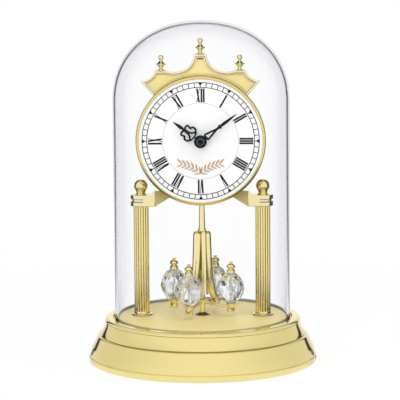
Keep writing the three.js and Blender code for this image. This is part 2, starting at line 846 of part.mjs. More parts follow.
function makeHands() {
  const hourBack = hourHandFront + handThickness;
  const spine = withHoles(
    handOutline(hourOutline, hourHandLength, 1), handOutline(hourWindow, hourHandLength));
  const lobes = flanks.map(([, side]) => facing(
    withHoles(
      circle(hourLobeRadius, smallSides, side * hourLobeRadius, hourLobeReach),
      circle(hourLobeHole, smallSides, side * hourLobeRadius, hourLobeReach)),
    hourHandFront, hourBack));
  const hourHub = pin(handHubRadius, hourHandFront, hourBack, centrePlace, middleSides);
  const hourHole = pin(pipeRadius + handFit, hourHandFront - cutMargin, hourBack + cutMargin);
  const hour = cut(join(facing(spine, hourHandFront, hourBack), ...lobes, hourHub), hourHole);
  add(movement, 'hour_hand', hour.rotateY(hourHandAngle), handBlack);

  const minuteBack = minuteHandFront + handThickness;
  const blade = withHoles(
    handOutline(minuteOutline, minuteHandLength, 1),
    handOutline(minuteWindow, minuteHandLength, minuteWindowTip));
  const minuteHub = pin(handHubRadius, minuteHandFront, minuteBack, centrePlace, middleSides);
  const minuteHole = pin(arborRadius + handFit, minuteHandFront - cutMargin, minuteBack + cutMargin);
  const minute = cut(join(facing(blade, minuteHandFront, minuteBack), minuteHub), minuteHole);
  add(movement, 'minute_hand', minute.rotateY(minuteHandAngle), handBlack);

  const capHole = arborRadius + handFit;
  const capFloor = minuteHandFront - capGrip - handFit;
  const cap = [
    [0, capFloor], [capHole, capFloor], [capHole, minuteHandFront],
    ...scaled(capProfile, capRadius, minuteHandFront, -capHeight), [0, minuteHandFront - capHeight],
  ];
  add(movement, 'hand_cap', turnedFacing(cap, middleSides), handBlack);
}

// Movement housing, its cover, the battery and the contacts
function makeHousing() {
  const inner = movementOutline(-movementWall);
  const inside = halfWidth - movementWall / 2;
  const bay = bayWidth / 2 - movementWall / 2;
  const batteryFloor = batteryHeight - batteryRadius - batteryClearance;
  const batteryFront = batteryBack - batteryRadius - batteryClearance;
  const box = cut(
    facing(movementOutline(0), dialBack, coverFront),
    facing(inner, movementFloor, coverFront + cutMargin));
  const floorWeb = rectangle(-inside, batteryFloor - shelfWeb, inside, batteryFloor);
  const frontWeb = rectangle(-inside, batteryFloor - shelfWeb, inside, halfHeight - movementWall / 2);
  const driveShelf = rectangle(-bay, bayShelf - shelfWeb, bay, bayShelf);
  const shell = join(
    box,
    facing(floorWeb, batteryFront - shelfWeb, coverFront),
    facing(frontWeb, batteryFront - shelfWeb, batteryFront),
    facing(driveShelf, movementFloor - movementWall / 2, coverFront),
    pin(bushRadius, bushFront, movementFloor, centrePlace, middleSides));
  const pivots = [minuteWheelPlace, knobPlace, thirdPlace, secondsPlace, intermediatePlace, rotorPlace];
  const holes = pivots.map((place) => pin(
    pivotHole, movementFloor - pivotDepth - runningGap, movementFloor + cutMargin, place, pivotSides));
  const bushBore = pin(
    bushHole, bushFront - cutMargin, movementFloor + cutMargin, centrePlace, middleSides);
  const swivelBore = post(
    swivelRadius + pivotClearance, bayBottom - cutMargin, bayShelf + cutMargin, 0, middleSides);
  add(movement, 'movement_housing', cut(shell, ...holes, bushBore, swivelBore), blackPlastic);

  const batteryDoor = rectangle(
    -halfWidth + movementWall, batteryFloor, halfWidth - movementWall, halfHeight - movementWall);
  const cover = withHoles(
    movementOutline(0), batteryDoor, circle(arborRadius + runningGap, smallSides, knobPlace.x, knobPlace.y));
  const rotorBearingRing = withHoles(
    circle(pivotHole + bearingWall, pivotSides, rotorPlace.x, rotorPlace.y),
    circle(pivotHole, pivotSides, rotorPlace.x, rotorPlace.y));
  const coverSolid = join(
    facing(cover, coverFront, coverBack),
    facing(rotorBearingRing, coverFront - pivotDepth, coverFront + shelfWeb / 2));
  add(movement, 'movement_cover', coverSolid, blackPlastic);
}

function makeBattery() {
  const end = batteryLength / 2;
  const shoulder = end - batteryTipLength;
  const cell = [
    [0, -end], [batteryRadius, -end], [batteryRadius, shoulder], [batteryTipRadius, shoulder],
    [batteryTipRadius, end], [0, end],
  ];
  const along = new THREE.LatheGeometry(points(...cell), middleSides).rotateZ(-Math.PI / 2);
  add(movement, 'battery', along, batterySleeve).position.set(0, batteryBack, batteryHeight);

  const wall = halfWidth - movementWall - runningGap;
  const plateFace = wall - contactThickness;
  const touch = end + pieceGap;
  for (const [label, side, tip] of [['plus', 1, batteryTipRadius], ['minus', -1, springRadius]]) {
    const spring = [
      [0, wall], [contactRadius, wall], [contactRadius, plateFace], [tip + contactFlare, plateFace],
      [tip, touch], [0, touch],
    ];
    const contact = new THREE.LatheGeometry(points(...spring), smallSides).rotateZ(-side * Math.PI / 2);
    add(movement, `battery_contact_${label}`, contact, steel).position.set(0, batteryBack, batteryHeight);
  }
}

// Toothed wheels: plain pointed teeth with room to run
function gear(teeth, module, phase) {
  const pitchRadius = teeth * module / 2;
  const tip = pitchRadius + toothRise * module;
  const root = pitchRadius - toothDrop * module;
  const outline = [];
  for (let i = 0; i < teeth; i += 1) {
    const angle = phase + i * turn / teeth;
    const gap = angle + Math.PI / teeth;
    outline.push([tip * Math.cos(angle), tip * Math.sin(angle)]);
    outline.push([root * Math.cos(gap), root * Math.sin(gap)]);
  }
  return polygon(...outline);
}

// The phase that puts a gap of the driven wheel opposite a tooth of its driver.
function meshPhase(driverPhase, driverTeeth, drivenTeeth, bearing) {
  return bearing + Math.PI + Math.PI / drivenTeeth - (driverPhase - bearing) * driverTeeth / drivenTeeth;
}

function layer(shape, level) {
  const front = trainFront + level * layerPitch;
  return facing(shape, front, front + wheelThickness);
}

function arbor(front, back) {
  return pin(pivotRadius, front, back, centrePlace, pivotSides);
}

function addWheel(name, geometry, place, look) {
  add(movement, name, geometry, look).position.set(place.x, 0, place.y);
}

function makeMotionWork() {
  const cannonPhase = 0;
  const wheelPhase = meshPhase(cannonPhase, cannonTeeth, minuteWheelTeeth, minuteWheelBearing);
  const knobPhase = meshPhase(wheelPhase, minuteWheelTeeth, knobTeeth, knobBearing);
  const smallPhase = 0;
  const hourPhase = meshPhase(
    smallPhase, minutePinionTeeth, hourWheelTeeth, minuteWheelBearing + Math.PI);
  const pivotFront = movementFloor - pivotDepth;
  const cannonFront = trainFront + minuteLayer * layerPitch;
  const cannonBack = cannonFront + wheelThickness;

  const minuteArbor = join(
    pin(arborRadius, minuteHandFront - capGrip, cannonBack),
    layer(gear(cannonTeeth, motionModule, cannonPhase), minuteLayer),
    pin(arborTailRadius, cannonBack - fit, bridgeBack));
  addWheel('minute_arbor', minuteArbor, centrePlace, steel);

  const minuteWheel = join(
    layer(gear(minuteWheelTeeth, motionModule, wheelPhase), minuteLayer),
    layer(gear(minutePinionTeeth, hourModule, smallPhase), hourLayer),
    arbor(pivotFront, bridgeBack));
  addWheel('minute_wheel', minuteWheel, minuteWheelPlace, trainBrass);

  const pipeHole = pin(pipeRadius - pipeWall, hourHandFront - cutMargin, cannonBack + cutMargin);
  const hourWheel = join(
    layer(gear(hourWheelTeeth, hourModule, hourPhase), hourLayer),
    pin(pipeRadius, hourHandFront, trainFront + hourLayer * layerPitch + wheelThickness));
  addWheel('hour_wheel', cut(hourWheel, pipeHole), centrePlace, trainBrass);

  const knobFront = coverBack + knobGap;
  const knob = join(
    arbor(pivotFront, cannonFront + fit),
    layer(gear(knobTeeth, motionModule, knobPhase), minuteLayer),
    pin(arborRadius, cannonFront, knobFront + fit),
    pin(knobRadius, knobFront, knobFront + knobHeight, centrePlace, middleSides));
  addWheel('setting_knob', knob, knobPlace, whitePlastic);
}

// A pinion in one layer and a wheel in the next layer back, on one arbor.
function pinionAndWheel(wheelTeeth, pinionPhase, wheelPhase, pinionLevel) {
  return join(
    layer(gear(pinionTeeth, trainModule, pinionPhase), pinionLevel),
    layer(gear(wheelTeeth, trainModule, wheelPhase), pinionLevel + 1),
    arbor(movementFloor - pivotDepth, bridgeBack));
}

function makeDriveTrain() {
  const wheelPhase = 0;
  const centreHole = pin(arborTailRadius + pivotClearance, movementFloor, bridgeBack);
  const centre = cut(layer(gear(centreTeeth, trainModule, wheelPhase), centreLayer), centreHole);
  addWheel('centre_wheel', centre, centrePlace, trainBrass);

  const train = [
    ['third_wheel', thirdPlace, thirdTeeth, centreTeeth, thirdBearing],
    ['seconds_wheel', secondsPlace, secondsTeeth, thirdTeeth, secondsBearing],
    ['intermediate_wheel', intermediatePlace, intermediateTeeth, secondsTeeth, intermediateBearing],
  ];
  train.forEach(([name, place, teeth, driverTeeth, bearing], i) => {
    const phase = meshPhase(wheelPhase, driverTeeth, pinionTeeth, bearing);
    addWheel(name, pinionAndWheel(teeth, phase, wheelPhase, centreLayer + i), place, whitePlastic);
  });

  const rotorPhase = meshPhase(wheelPhase, intermediateTeeth, pinionTeeth, rotorBearing);
  const rotor = join(
    layer(gear(pinionTeeth, trainModule, rotorPhase), layerCount - 1),
    pin(rotorRadius, motorCentre - rotorLength / 2, motorCentre + rotorLength / 2, centrePlace, middleSides),
    arbor(movementFloor - pivotDepth, coverFront - runningGap));
  addWheel('rotor', rotor, rotorPlace, darkMagnet);
}

// Bridge that holds the rear pivots, and the motor behind it
function makeBridgeAndMotor() {
  const [left, right] = [minuteWheelPlace.x - bridgeMargin, coreOffset + coilRadius];
  const [low, high] = [coreBottom, bridgeMargin];
  const waist = (minuteWheelPlace.x + rotorPlace.x) / 2;
  const outline = polygon(
    [left, minuteWheelPlace.y - bridgeMargin], [waist, intermediatePlace.y], [waist, low], [right, low],
    [right, high], [waist, high], [left, minuteWheelPlace.y + bridgeMargin]);
  const rearPivots = [minuteWheelPlace, thirdPlace, secondsPlace, intermediatePlace];
  const holes = rearPivots.map((place) => circle(pivotHole, pivotSides, place.x, place.y));
  const pinionPassage = trainModule * (pinionTeeth / 2 + toothRise) + runningGap;
  const plate = withHoles(
    outline, ...holes, circle(arborTailRadius + pivotClearance, smallSides),
    circle(pinionPassage, smallSides, rotorPlace.x, rotorPlace.y));
  const corner = pillarRadius + pillarMargin;
  const pillarPlaces = [
    new THREE.Vector2(right - corner, high - corner), new THREE.Vector2(waist + corner, low + corner)];
  const pillars = pillarPlaces.map((place) => pin(pillarRadius, movementFloor, bridgeFront + fit, place));
  const postHeight = (coreTop + rotorPlace.y) / 2;
  const motorPosts = [rotorPlace.x - coreWidth, rotorPlace.x + coreWidth].map((x) => pin(
    pillarRadius, bridgeBack - fit, statorFront, new THREE.Vector2(x, postHeight)));
  add(movement, 'train_bridge', join(facing(plate, bridgeFront, bridgeBack), ...pillars, ...motorPosts),
    blackPlastic);

  const boreRadius = rotorRadius + rotorGap;
  const statorLeft = rotorPlace.x - boreRadius - statorBand;
  const windowLeft = rotorPlace.x + boreRadius + statorBand;
  const coreLeft = coreOffset - coreWidth / 2;
  const stator = withHoles(
    rectangle(statorLeft, coreBottom, coreOffset + coreWidth / 2, coreTop),
    rectangle(windowLeft, coreBottom + statorBand, coreLeft, coreTop - statorBand),
    circle(boreRadius, middleSides, rotorPlace.x, rotorPlace.y));
  add(movement, 'stator', facing(stator, statorFront, statorFront + statorThickness), steel);

  const halfHole = [coreWidth / 2 + coilClearance, statorThickness / 2 + coilClearance];
  const winding = withHoles(
    circle(coilRadius, middleSides), rectangle(-halfHole[0], -halfHole[1], halfHole[0], halfHole[1]));
  const coilLow = coreBottom + statorBand + coilClearance;
  const coilHigh = coreTop - statorBand - coilClearance;
  add(movement, 'motor_coil', standing(winding, coilLow, coilHigh), copper)
    .position.set(coreOffset, motorCentre, 0);

  const boardLeft = -halfWidth + movementWall + fit;
  const boardLow = -halfHeight + movementWall + fit;
  const board = rectangle(boardLeft, boardLow, boardLeft + boardWidth, boardLow + boardHeight);
  const boardBack = coverFront - fit;
  add(movement, 'circuit_board', facing(board, boardBack - boardThickness, boardBack), boardGreen);
}

// Pendulum drive: a swivel that hangs on the bay floor, its magnet and the coil above
function makePendulumDrive() {
  const collarLow = bayFloor + runningGap;
  const swivelTop = bayShelf + shelfWeb;
  const swivel = [
    [0, swivelBottom - swivelPinLength], [swivelPinRadius, swivelBottom - swivelPinLength],
    [swivelPinRadius, swivelBottom], [swivelRadius, swivelBottom], [swivelRadius, collarLow],
    [swivelCollarRadius, collarLow], [swivelCollarRadius, collarLow + swivelCollarHeight],
    [swivelRadius, collarLow + swivelCollarHeight], [swivelRadius, swivelTop], [0, swivelTop],
  ];
  add(movement, 'pendulum_swivel', turned(swivel, middleSides), trainBrass);

  const magnet = withHoles(circle(magnetRadius, middleSides), circle(swivelRadius + runningGap, smallSides));
  add(movement, 'drive_magnet', standing(magnet, magnetTop - magnetHeight, magnetTop), darkMagnet);

  const winding = withHoles(
    circle(driveCoilRadius, middleSides), circle(swivelRadius + rotorGap, smallSides));
  const coilTop = bayShelf - shelfWeb;
  add(movement, 'drive_coil', standing(winding, coilTop - driveCoilHeight, coilTop), copper);
}

// Pendulum: rod, lobed tower, spider with cups, crystals and their caps
function makePendulumRod() {
  const gripLow = pendulumRodTop - swivelPinLength - pieceGap;
  const coreLow = spindleTop - spindleGrip + pieceGap;
  const rod = [
    [0, coreLow], [pendulumCoreRadius, coreLow], [pendulumCoreRadius, towerTop],
    [pendulumCollarRadius, towerTop], [pendulumRodFoot, towerTop + pendulumCollarHeight],
    [pendulumRodRadius, pendulumRodTop], [swivelPinRadius + runningGap, pendulumRodTop],
    [swivelPinRadius + runningGap, gripLow], [0, gripLow],
  ];
  add(pendulum, 'pendulum_rod', turned(rod, middleSides), polishedBrass);
}

// One lobe of the tower: a stem that leans in at the top and flares out to a foot.
function towerLobeSolid(bearing) {
  const rings = Array.from({ length: towerRings }, (_, i) => {
    const share = (i / (towerRings - 1)) ** towerRingCrowding;
    const height = towerBottom + share * (towerTop - towerBottom);
    const flare = Math.exp(-(height - towerBottom) / towerSpan);
    const reach = towerTopRadius + towerSwell * (1 - share) + (towerFlare - towerSwell) * flare;
    const radius = towerLobe + (towerFootLobe - towerLobe) * flare;
    const [x, y] = [reach * Math.cos(bearing), reach * Math.sin(bearing)];
    return levelRing(lobeSides, radius, height, bearing, x, y);
  });
  return loft(rings);
}

function makeTower() {
  const lobes = Array.from({ length: armCount }, (_, i) => towerLobeSolid((i + 0.5) * turn / armCount));
  const rodBore = post(pendulumCoreRadius + runningGap, towerBottom - cutMargin, towerTop + cutMargin);
  const spindleBore = post(spindleRadius + runningGap, towerBottom - cutMargin, spindleTop);
  add(pendulum, 'pendulum_tower', cut(join(...lobes), rodBore, spindleBore), polishedBrass);
}

// An arm seen from the side: it drops from the spindle, passes under the crystal and curls up.
function armOutline() {
  const root = spindleRadius / 2;
  const tip = armRadius + armTipReach;
  const outline = new THREE.Shape();
  outline.moveTo(root, cupBottom + armFall);
  const under = cupBottom - armDepth;
  outline.quadraticCurveTo(armBend, cupBottom, armRadius, cupBottom);
  outline.quadraticCurveTo(tip - armTipCurl, cupBottom, tip, cupBottom + armTipRise);
  outline.quadraticCurveTo(tip - armTipCurl, under, armRadius, under);
  outline.quadraticCurveTo(armBend, under, root, cupBottom + armFall - armRootHeight);
  return outline;
}

function makeSpider() {
  const spindleLow = deckTop + guideFloor + spindleLift;
  const socketLow = spindleTop - spindleGrip;
  const socket = pendulumCoreRadius + runningGap;
  const spindle = turned([
    [0, spindleLow], [spindleRadius, spindleLow], [spindleRadius, spindleTop], [socket, spindleTop],
    [socket, socketLow], [0, socketLow],
  ], smallSides);
  const studTop = crystalCapBottom + crystalCapGrip - pieceGap;
  const holder = [
    [0, stubBottom], [stubRadius, stubBottom], [stubRadius, cupBottom], [cupRadius, cupTop],
    [studRadius, cupTop], [studRadius, studTop], [0, studTop],
  ];
  const pieces = [spindle];
  for (let i = 0; i < armCount; i += 1) {
    const angle = i * turn / armCount;
    pieces.push(facing(armOutline(), -armWidth / 2, armWidth / 2).rotateZ(angle));
    pieces.push(turned(holder, smallSides).translate(armRadius, 0, 0).rotateZ(angle));
  }
  add(pendulum, 'pendulum_spider', join(...pieces), polishedBrass);
}

// A cut crystal: rings of facets, each turned half a step, widest above its middle.
function crystalSolid() {
  const step = turn / crystalSides;
  const outline = scaled(crystalProfile, crystalRadius, crystalBottom, crystalHeight);
  const solid = loft(outline.map(([radius, height], i) => levelRing(
    crystalSides, radius, height, i * step / 2)));
  return cut(solid, post(crystalBore, crystalBottom - cutMargin, crystalTop + cutMargin));
}

function makeCrystals() {
  const hole = studRadius + runningGap;
  const holeTop = crystalCapBottom + crystalCapGrip;
  const cap = [
    [0, holeTop], [hole, holeTop], [hole, crystalCapBottom],
    ...scaled(crystalCapProfile, crystalCapRadius, crystalCapBottom, crystalCapHeight),
    [0, crystalCapBottom + crystalCapHeight],
  ];
  const labels = ['right', 'back', 'left', 'front'];
  for (let i = 0; i < armCount; i += 1) {
    const angle = i * turn / armCount;
    const [x, y] = [armRadius * Math.cos(angle), armRadius * Math.sin(angle)];
    add(pendulum, `crystal_${labels[i]}`, crystalSolid(), crystal).position.set(x, y, 0);
    add(pendulum, `crystal_cap_${labels[i]}`, turned(cap, smallSides), polishedBrass).position.set(x, y, 0);
  }
}

makeBaseShell();
makeBaseInside();
makeDome();
flanks.forEach(([label, side]) => makeColumn(label, side));
makeDialCase();
makeDialAndBezel();
makeCrest();
makeHands();
makeHousing();
makeBattery();
makeMotionWork();
makeDriveTrain();
makeBridgeAndMotor();
makePendulumDrive();
makePendulumRod();
makeTower();
makeSpider();
makeCrystals();

export default clock;
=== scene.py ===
# Glass dome clock: brass base, reeded columns, round dial under a crest, and a turning pendulum with cut
# crystals. Sizes in the dictionaries are millimetres; meshes are metres, in the frame's own place.
import math
import random

import bmesh
import bpy
from mathutils import Matrix, Vector


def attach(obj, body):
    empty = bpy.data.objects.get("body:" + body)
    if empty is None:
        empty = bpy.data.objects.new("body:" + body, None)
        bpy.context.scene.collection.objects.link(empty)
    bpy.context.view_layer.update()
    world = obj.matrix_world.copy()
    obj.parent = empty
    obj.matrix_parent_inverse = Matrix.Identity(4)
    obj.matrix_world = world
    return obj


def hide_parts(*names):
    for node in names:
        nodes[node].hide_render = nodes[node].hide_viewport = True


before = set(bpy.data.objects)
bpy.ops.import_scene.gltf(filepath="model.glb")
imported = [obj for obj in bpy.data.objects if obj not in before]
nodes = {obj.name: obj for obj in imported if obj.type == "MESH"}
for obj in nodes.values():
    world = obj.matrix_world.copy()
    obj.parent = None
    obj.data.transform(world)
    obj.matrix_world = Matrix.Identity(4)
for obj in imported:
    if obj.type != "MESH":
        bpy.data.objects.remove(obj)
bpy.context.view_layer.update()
scene = bpy.context.scene
mm = 0.001
fullTurn = 2 * math.pi
dialHeight = 148.2  # middle of the dial above the floor
columnOffset = 40.6  # middle of a column from the clock's axis
crystalReach = 21  # middle of a crystal from that axis
pendulumTurn = math.radians(-23)
print("frame loaded:", len(nodes), "nodes")


# Node helpers. What goes into a socket is a number, a tuple, a material or another node's output.
def feed(tree, sockets, values):
    for label, value in values.items():
        if isinstance(value, bpy.types.NodeSocket):
            tree.links.new(value, sockets[label])
        else:
            sockets[label].default_value = value


def addNode(tree, kind, inputs=None, **settings):
    node = tree.nodes.new(kind)
    for key, value in settings.items():
        setattr(node, key, value)
    feed(tree, node.inputs, inputs or {})
    return node


# a new node's first output
def source(tree, kind, inputs=None, **settings):
    return addNode(tree, kind, inputs, **settings).outputs[0]


def calc(tree, operation, *values):
    return source(tree, "ShaderNodeMath", dict(enumerate(values)), operation=operation)


def combine(tree, *parts):
    return source(tree, "ShaderNodeCombineXYZ", dict(enumerate(parts)))


def split(tree, vector):
    return addNode(tree, "ShaderNodeSeparateXYZ", {"Vector": vector}).outputs


def ramp(tree, value, low=0.0, high=1.0, start=0.0, end=1.0, kind="LINEAR"):
    ends = {"Value": value, "From Min": low, "From Max": high, "To Min": start, "To Max": end}
    return source(tree, "ShaderNodeMapRange", ends, interpolation_type=kind)


def blend(tree, mask, low, high):
    ends = {"Factor": mask, "A": low, "B": high}
    return addNode(tree, "ShaderNodeMix", ends, data_type="RGBA").outputs["Result"]


def between(tree, mask, low, high):
    rest = calc(tree, "MULTIPLY", low, calc(tree, "SUBTRACT", 1.0, mask))
    return calc(tree, "ADD", rest, calc(tree, "MULTIPLY", high, mask))


def diagonal(tree, first, second):
    squares = [calc(tree, "POWER", side, 2.0) for side in (first, second)]
    return calc(tree, "SQRT", calc(tree, "ADD", *squares))


def objectPoint(tree):
    return addNode(tree, "ShaderNodeTexCoord").outputs["Object"]


def bumped(tree, height, strength, distance):
    ends = {"Height": height, "Strength": strength, "Distance": distance * mm}
    return source(tree, "ShaderNodeBump", ends)


def socketKind(value):
    if isinstance(value, tuple):
        return "Color" if len(value) == 4 else "Vector"
    return {float: "Float", int: "Int"}.get(type(value), type(value).__name__)


# a node tree with its inputs and outputs; an input's kind follows from its value
def openTree(name, kind, values, outputs):
    tree = bpy.data.node_groups.new(name, kind)
    for label, value in values.items():
        inputKind = "NodeSocket" + socketKind(value)
        socket = tree.interface.new_socket(label, in_out="INPUT", socket_type=inputKind)
        if not isinstance(value, bpy.types.ID):
            socket.default_value = value
    for label, outputKind in outputs.items():
        tree.interface.new_socket(label, in_out="OUTPUT", socket_type="NodeSocket" + outputKind)
    return tree, tree.nodes.new("NodeGroupInput").outputs, tree.nodes.new("NodeGroupOutput").inputs


# clouds of two near tones, and a fine grain for the gloss and the bump
def makeSurfaceGroup():
    group, given, result = openTree(
        "surfaceTone", "ShaderNodeTree",
        {"Light": (1, 1, 1, 1), "Deep": (0.5, 0.5, 0.5, 1), "Stretch": (1, 1, 1), "Cloud": 40.0,
         "Grain": 900.0, "Gloss": 0.1, "Dull": 0.2},
        {"Colour": "Color", "Roughness": "Float", "Height": "Float"})
    place = source(group, "ShaderNodeMapping", {"Vector": objectPoint(group), "Scale": given["Stretch"]})
    cloud, grain = (
        source(group, "ShaderNodeTexNoise", {"Vector": place, "Scale": given[label], "Detail": detail})
        for label, detail in (("Cloud", 4), ("Grain", 2)))
    feed(group, result, {
        "Colour": blend(group, cloud, given["Deep"], given["Light"]),
        "Roughness": ramp(group, grain, start=given["Gloss"], end=given["Dull"]), "Height": grain})
    return group


# glass whose cut facets carry painted dark or grey reflections, and a mask for the painted shade on the foot
# of the inner wall
def makeGlassGroup(blur):
    group, given, result = openTree(
        "glassTone", "ShaderNodeTree",
        {"Clear": (1, 1, 1, 1), "Shaded": (0, 0, 0, 1), "Foot Top": 0.0, "Foot Reach": 0.0},
        {"Colour": "Color", "Foot": "Float"})
    facet = addNode(group, "ShaderNodeAttribute", attribute_name="facet").outputs["Fac"]
    part = split(group, objectPoint(group))
    below = calc(group, "SUBTRACT", given["Foot Top"], part["Z"])
    low = ramp(group, below, -blur * mm, blur * mm, kind="SMOOTHSTEP")
    within = calc(group, "LESS_THAN", diagonal(group, part["X"], part["Y"]), given["Foot Reach"])
    feed(group, result, {
        "Colour": blend(group, facet, given["Clear"], given["Shaded"]),
        "Foot": calc(group, "MULTIPLY", low, within)})
    return group


surfaceTone = makeSurfaceGroup()
glassTone = makeGlassGroup(blur=0.3)


# one dictionary a finish: two near tones, gloss range, cloud and grain scales per metre, bump in millimetres
finishes = {
    "polishedBrass": dict(light=(0.91, 0.775, 0.345), deep=(0.86, 0.72, 0.30), gloss=0.05, dull=0.10,
                          cloud=45),
    "clearBrass": dict(light=(0.935, 0.825, 0.455), deep=(0.89, 0.775, 0.41), gloss=0.05, dull=0.10,
                       cloud=45),
    "satinBrass": dict(light=(0.97, 0.82, 0.375), deep=(0.935, 0.775, 0.335), gloss=0.45, dull=0.55,
                       cloud=60, grain=220, stretch=(14, 1, 1), bump=0.006, metallic=0.3),
    "bezelBrass": dict(light=(0.84, 0.69, 0.27), deep=(0.78, 0.63, 0.22), gloss=0.12, dull=0.20, cloud=50,
                       grain=1200),
    "softBrass": dict(light=(0.93, 0.81, 0.43), deep=(0.88, 0.76, 0.38), gloss=0.20, dull=0.28, cloud=60,
                      grain=1400, bump=0.003),
    "panelBrass": dict(light=(0.89, 0.745, 0.315), deep=(0.82, 0.675, 0.26), gloss=0.3, dull=0.4, cloud=80,
                       grain=1600, bump=0.004, metallic=0.3),
    # painted shade: a darker copy of the brass for the brackets; its greater roughness is their satin finish
    "shadedCastBrass": dict(light=(0.70, 0.58, 0.25), deep=(0.63, 0.51, 0.20), gloss=0.42, dull=0.52, cloud=110,
                      grain=1600, bump=0.006, metallic=0.45),
    # painted shade: dark brass laid into grooves, creases and reed valleys
    "paintedShadeBrass": dict(light=(0.34, 0.27, 0.11), deep=(0.26, 0.20, 0.075), gloss=0.2, dull=0.3,
                        metallic=0.9),
    # painted shade: near-black brass for the guide, the lowest step of each column foot and a strip on the
    # crest
    "shadowBrass": dict(light=(0.13, 0.10, 0.04), deep=(0.07, 0.055, 0.02), gloss=0.10, dull=0.2),
    # painted highlight: pale brass for bright lines in a capital's groove and along the crest's border
    "paintedHighlightBrass": dict(light=(0.97, 0.94, 0.80), deep=(0.94, 0.90, 0.72), gloss=0.2, dull=0.3, metallic=0.2),
    "trainBrass": dict(light=(0.62, 0.42, 0.12), deep=(0.50, 0.33, 0.09), gloss=0.25, dull=0.4, cloud=120,
                       grain=1800, bump=0.004),
    "steel": dict(light=(0.56, 0.57, 0.59), deep=(0.45, 0.46, 0.48), gloss=0.25, dull=0.42, grain=700,
                  stretch=(6, 1, 1), bump=0.006),
    "magnet": dict(light=(0.14, 0.14, 0.15), deep=(0.08, 0.08, 0.09), gloss=0.4, dull=0.6, cloud=150,
                   grain=2500, bump=0.01, metallic=0.8),
    "copperWire": dict(light=(0.55, 0.20, 0.07), deep=(0.36, 0.11, 0.03), gloss=0.25, dull=0.45, cloud=60,
                       grain=260, stretch=(1, 1, 16), bump=0.05),
    "blackPlastic": dict(light=(0.016, 0.016, 0.017), deep=(0.010, 0.010, 0.011), gloss=0.38, dull=0.58,
                         grain=2600, bump=0.02, metallic=0.0),
    "greyPlastic": dict(light=(0.05, 0.05, 0.052), deep=(0.035, 0.035, 0.037), gloss=0.3, dull=0.45,
                        grain=2600, bump=0.01, metallic=0.0),
    "whitePlastic": dict(light=(0.80, 0.78, 0.72), deep=(0.74, 0.72, 0.65), gloss=0.35, dull=0.5, grain=2400,
                         bump=0.008, metallic=0.0),
    # painted highlight: a grey sheen for the rounded shoulder of the hub cap
    "paintedSheenGrey": dict(light=(0.032, 0.05, 0.08), deep=(0.02, 0.033, 0.055), gloss=0.2, dull=0.3, cloud=200,
                     grain=2200, metallic=0.0, shine=0.2),
    "handBlack": dict(light=(0.006, 0.008, 0.016), deep=(0.003, 0.004, 0.008), gloss=0.14, dull=0.24,
                      cloud=200, grain=2200, metallic=0.0, shine=0.1),
    "dialWhite": dict(light=(0.93, 0.93, 0.925), deep=(0.90, 0.90, 0.89), gloss=0.4, dull=0.52, cloud=30,
                      grain=2600, bump=0.003, metallic=0.0),
    "dialInk": dict(light=(0.012, 0.012, 0.013), deep=(0.006, 0.006, 0.007), gloss=0.35, dull=0.5, cloud=300,
                    grain=3000, bump=0.004, metallic=0.0, shine=0.05),
    "dialTan": dict(light=(0.60, 0.50, 0.40), deep=(0.52, 0.42, 0.33), gloss=0.5, dull=0.6, cloud=300,
                    grain=3000, bump=0.004, metallic=0.0, shine=0.3),
    "dialCopper": dict(light=(0.60, 0.33, 0.13), deep=(0.50, 0.25, 0.09), gloss=0.45, dull=0.55, cloud=700,
                       grain=3000, bump=0.004, metallic=0.0, shine=0.3),
    "boardGreen": dict(light=(0.03, 0.14, 0.06), deep=(0.015, 0.08, 0.03), gloss=0.3, dull=0.5, cloud=400,
                       grain=1200, bump=0.03, metallic=0.0),
    "batterySleeve": dict(light=(0.05, 0.075, 0.16), deep=(0.035, 0.055, 0.12), gloss=0.2, dull=0.34,
                          cloud=70, bump=0.004, metallic=0.1),
    "felt": dict(light=(0.035, 0.085, 0.045), deep=(0.018, 0.05, 0.025), gloss=0.9, dull=1.0, cloud=260,
                 grain=3200, bump=0.25, metallic=0.0),
}


def openMaterial(name):
    material = bpy.data.materials.new(name)
    material.use_nodes = True
    return material, material.node_tree, material.node_tree.nodes["Principled BSDF"]


def makeFinish(name, light, deep, gloss, dull, cloud=90, grain=1500, bump=0.002, metallic=1.0,
               stretch=(1, 1, 1), shine=0.5):
    material, tree, shader = openMaterial(name)
    tone = addNode(tree, "ShaderNodeGroup", {
        "Light": (*light, 1), "Deep": (*deep, 1), "Stretch": stretch, "Cloud": cloud, "Grain": grain,
        "Gloss": gloss, "Dull": dull}, node_tree=surfaceTone).outputs
    feed(tree, shader.inputs, {
        "Base Color": tone["Colour"], "Roughness": tone["Roughness"], "Metallic": metallic,
        "Specular IOR Level": shine, "Normal": bumped(tree, tone["Height"], strength=0.5, distance=bump)})
    return material


# clear glass: a faint waviness, an inner tint that deepens with depth, and no shadow on what stands inside
glasses = {
    "domeGlass": dict(clear=(0.997, 0.998, 1.0), shaded=(0.5, 0.5, 0.55), rim=(0.80, 0.805, 0.85),
                      foot=(0.06, 0.065, 0.10), footTop=31.8, footReach=58, ior=1.14, passes=1.0, wave=14,
                      lift=0.003, tint=(0.60, 0.63, 0.74), depth=7),
    "crystalGlass": dict(clear=(0.95, 0.97, 1.0), shaded=(0.04, 0.04, 0.05), rim=(0.8, 0.8, 0.83),
                         foot=(0.9, 0.9, 0.9), footTop=0, footReach=0, ior=1.6, passes=0.83, wave=60,
                         lift=0.002, tint=(0.8, 0.82, 0.85), depth=2),
}


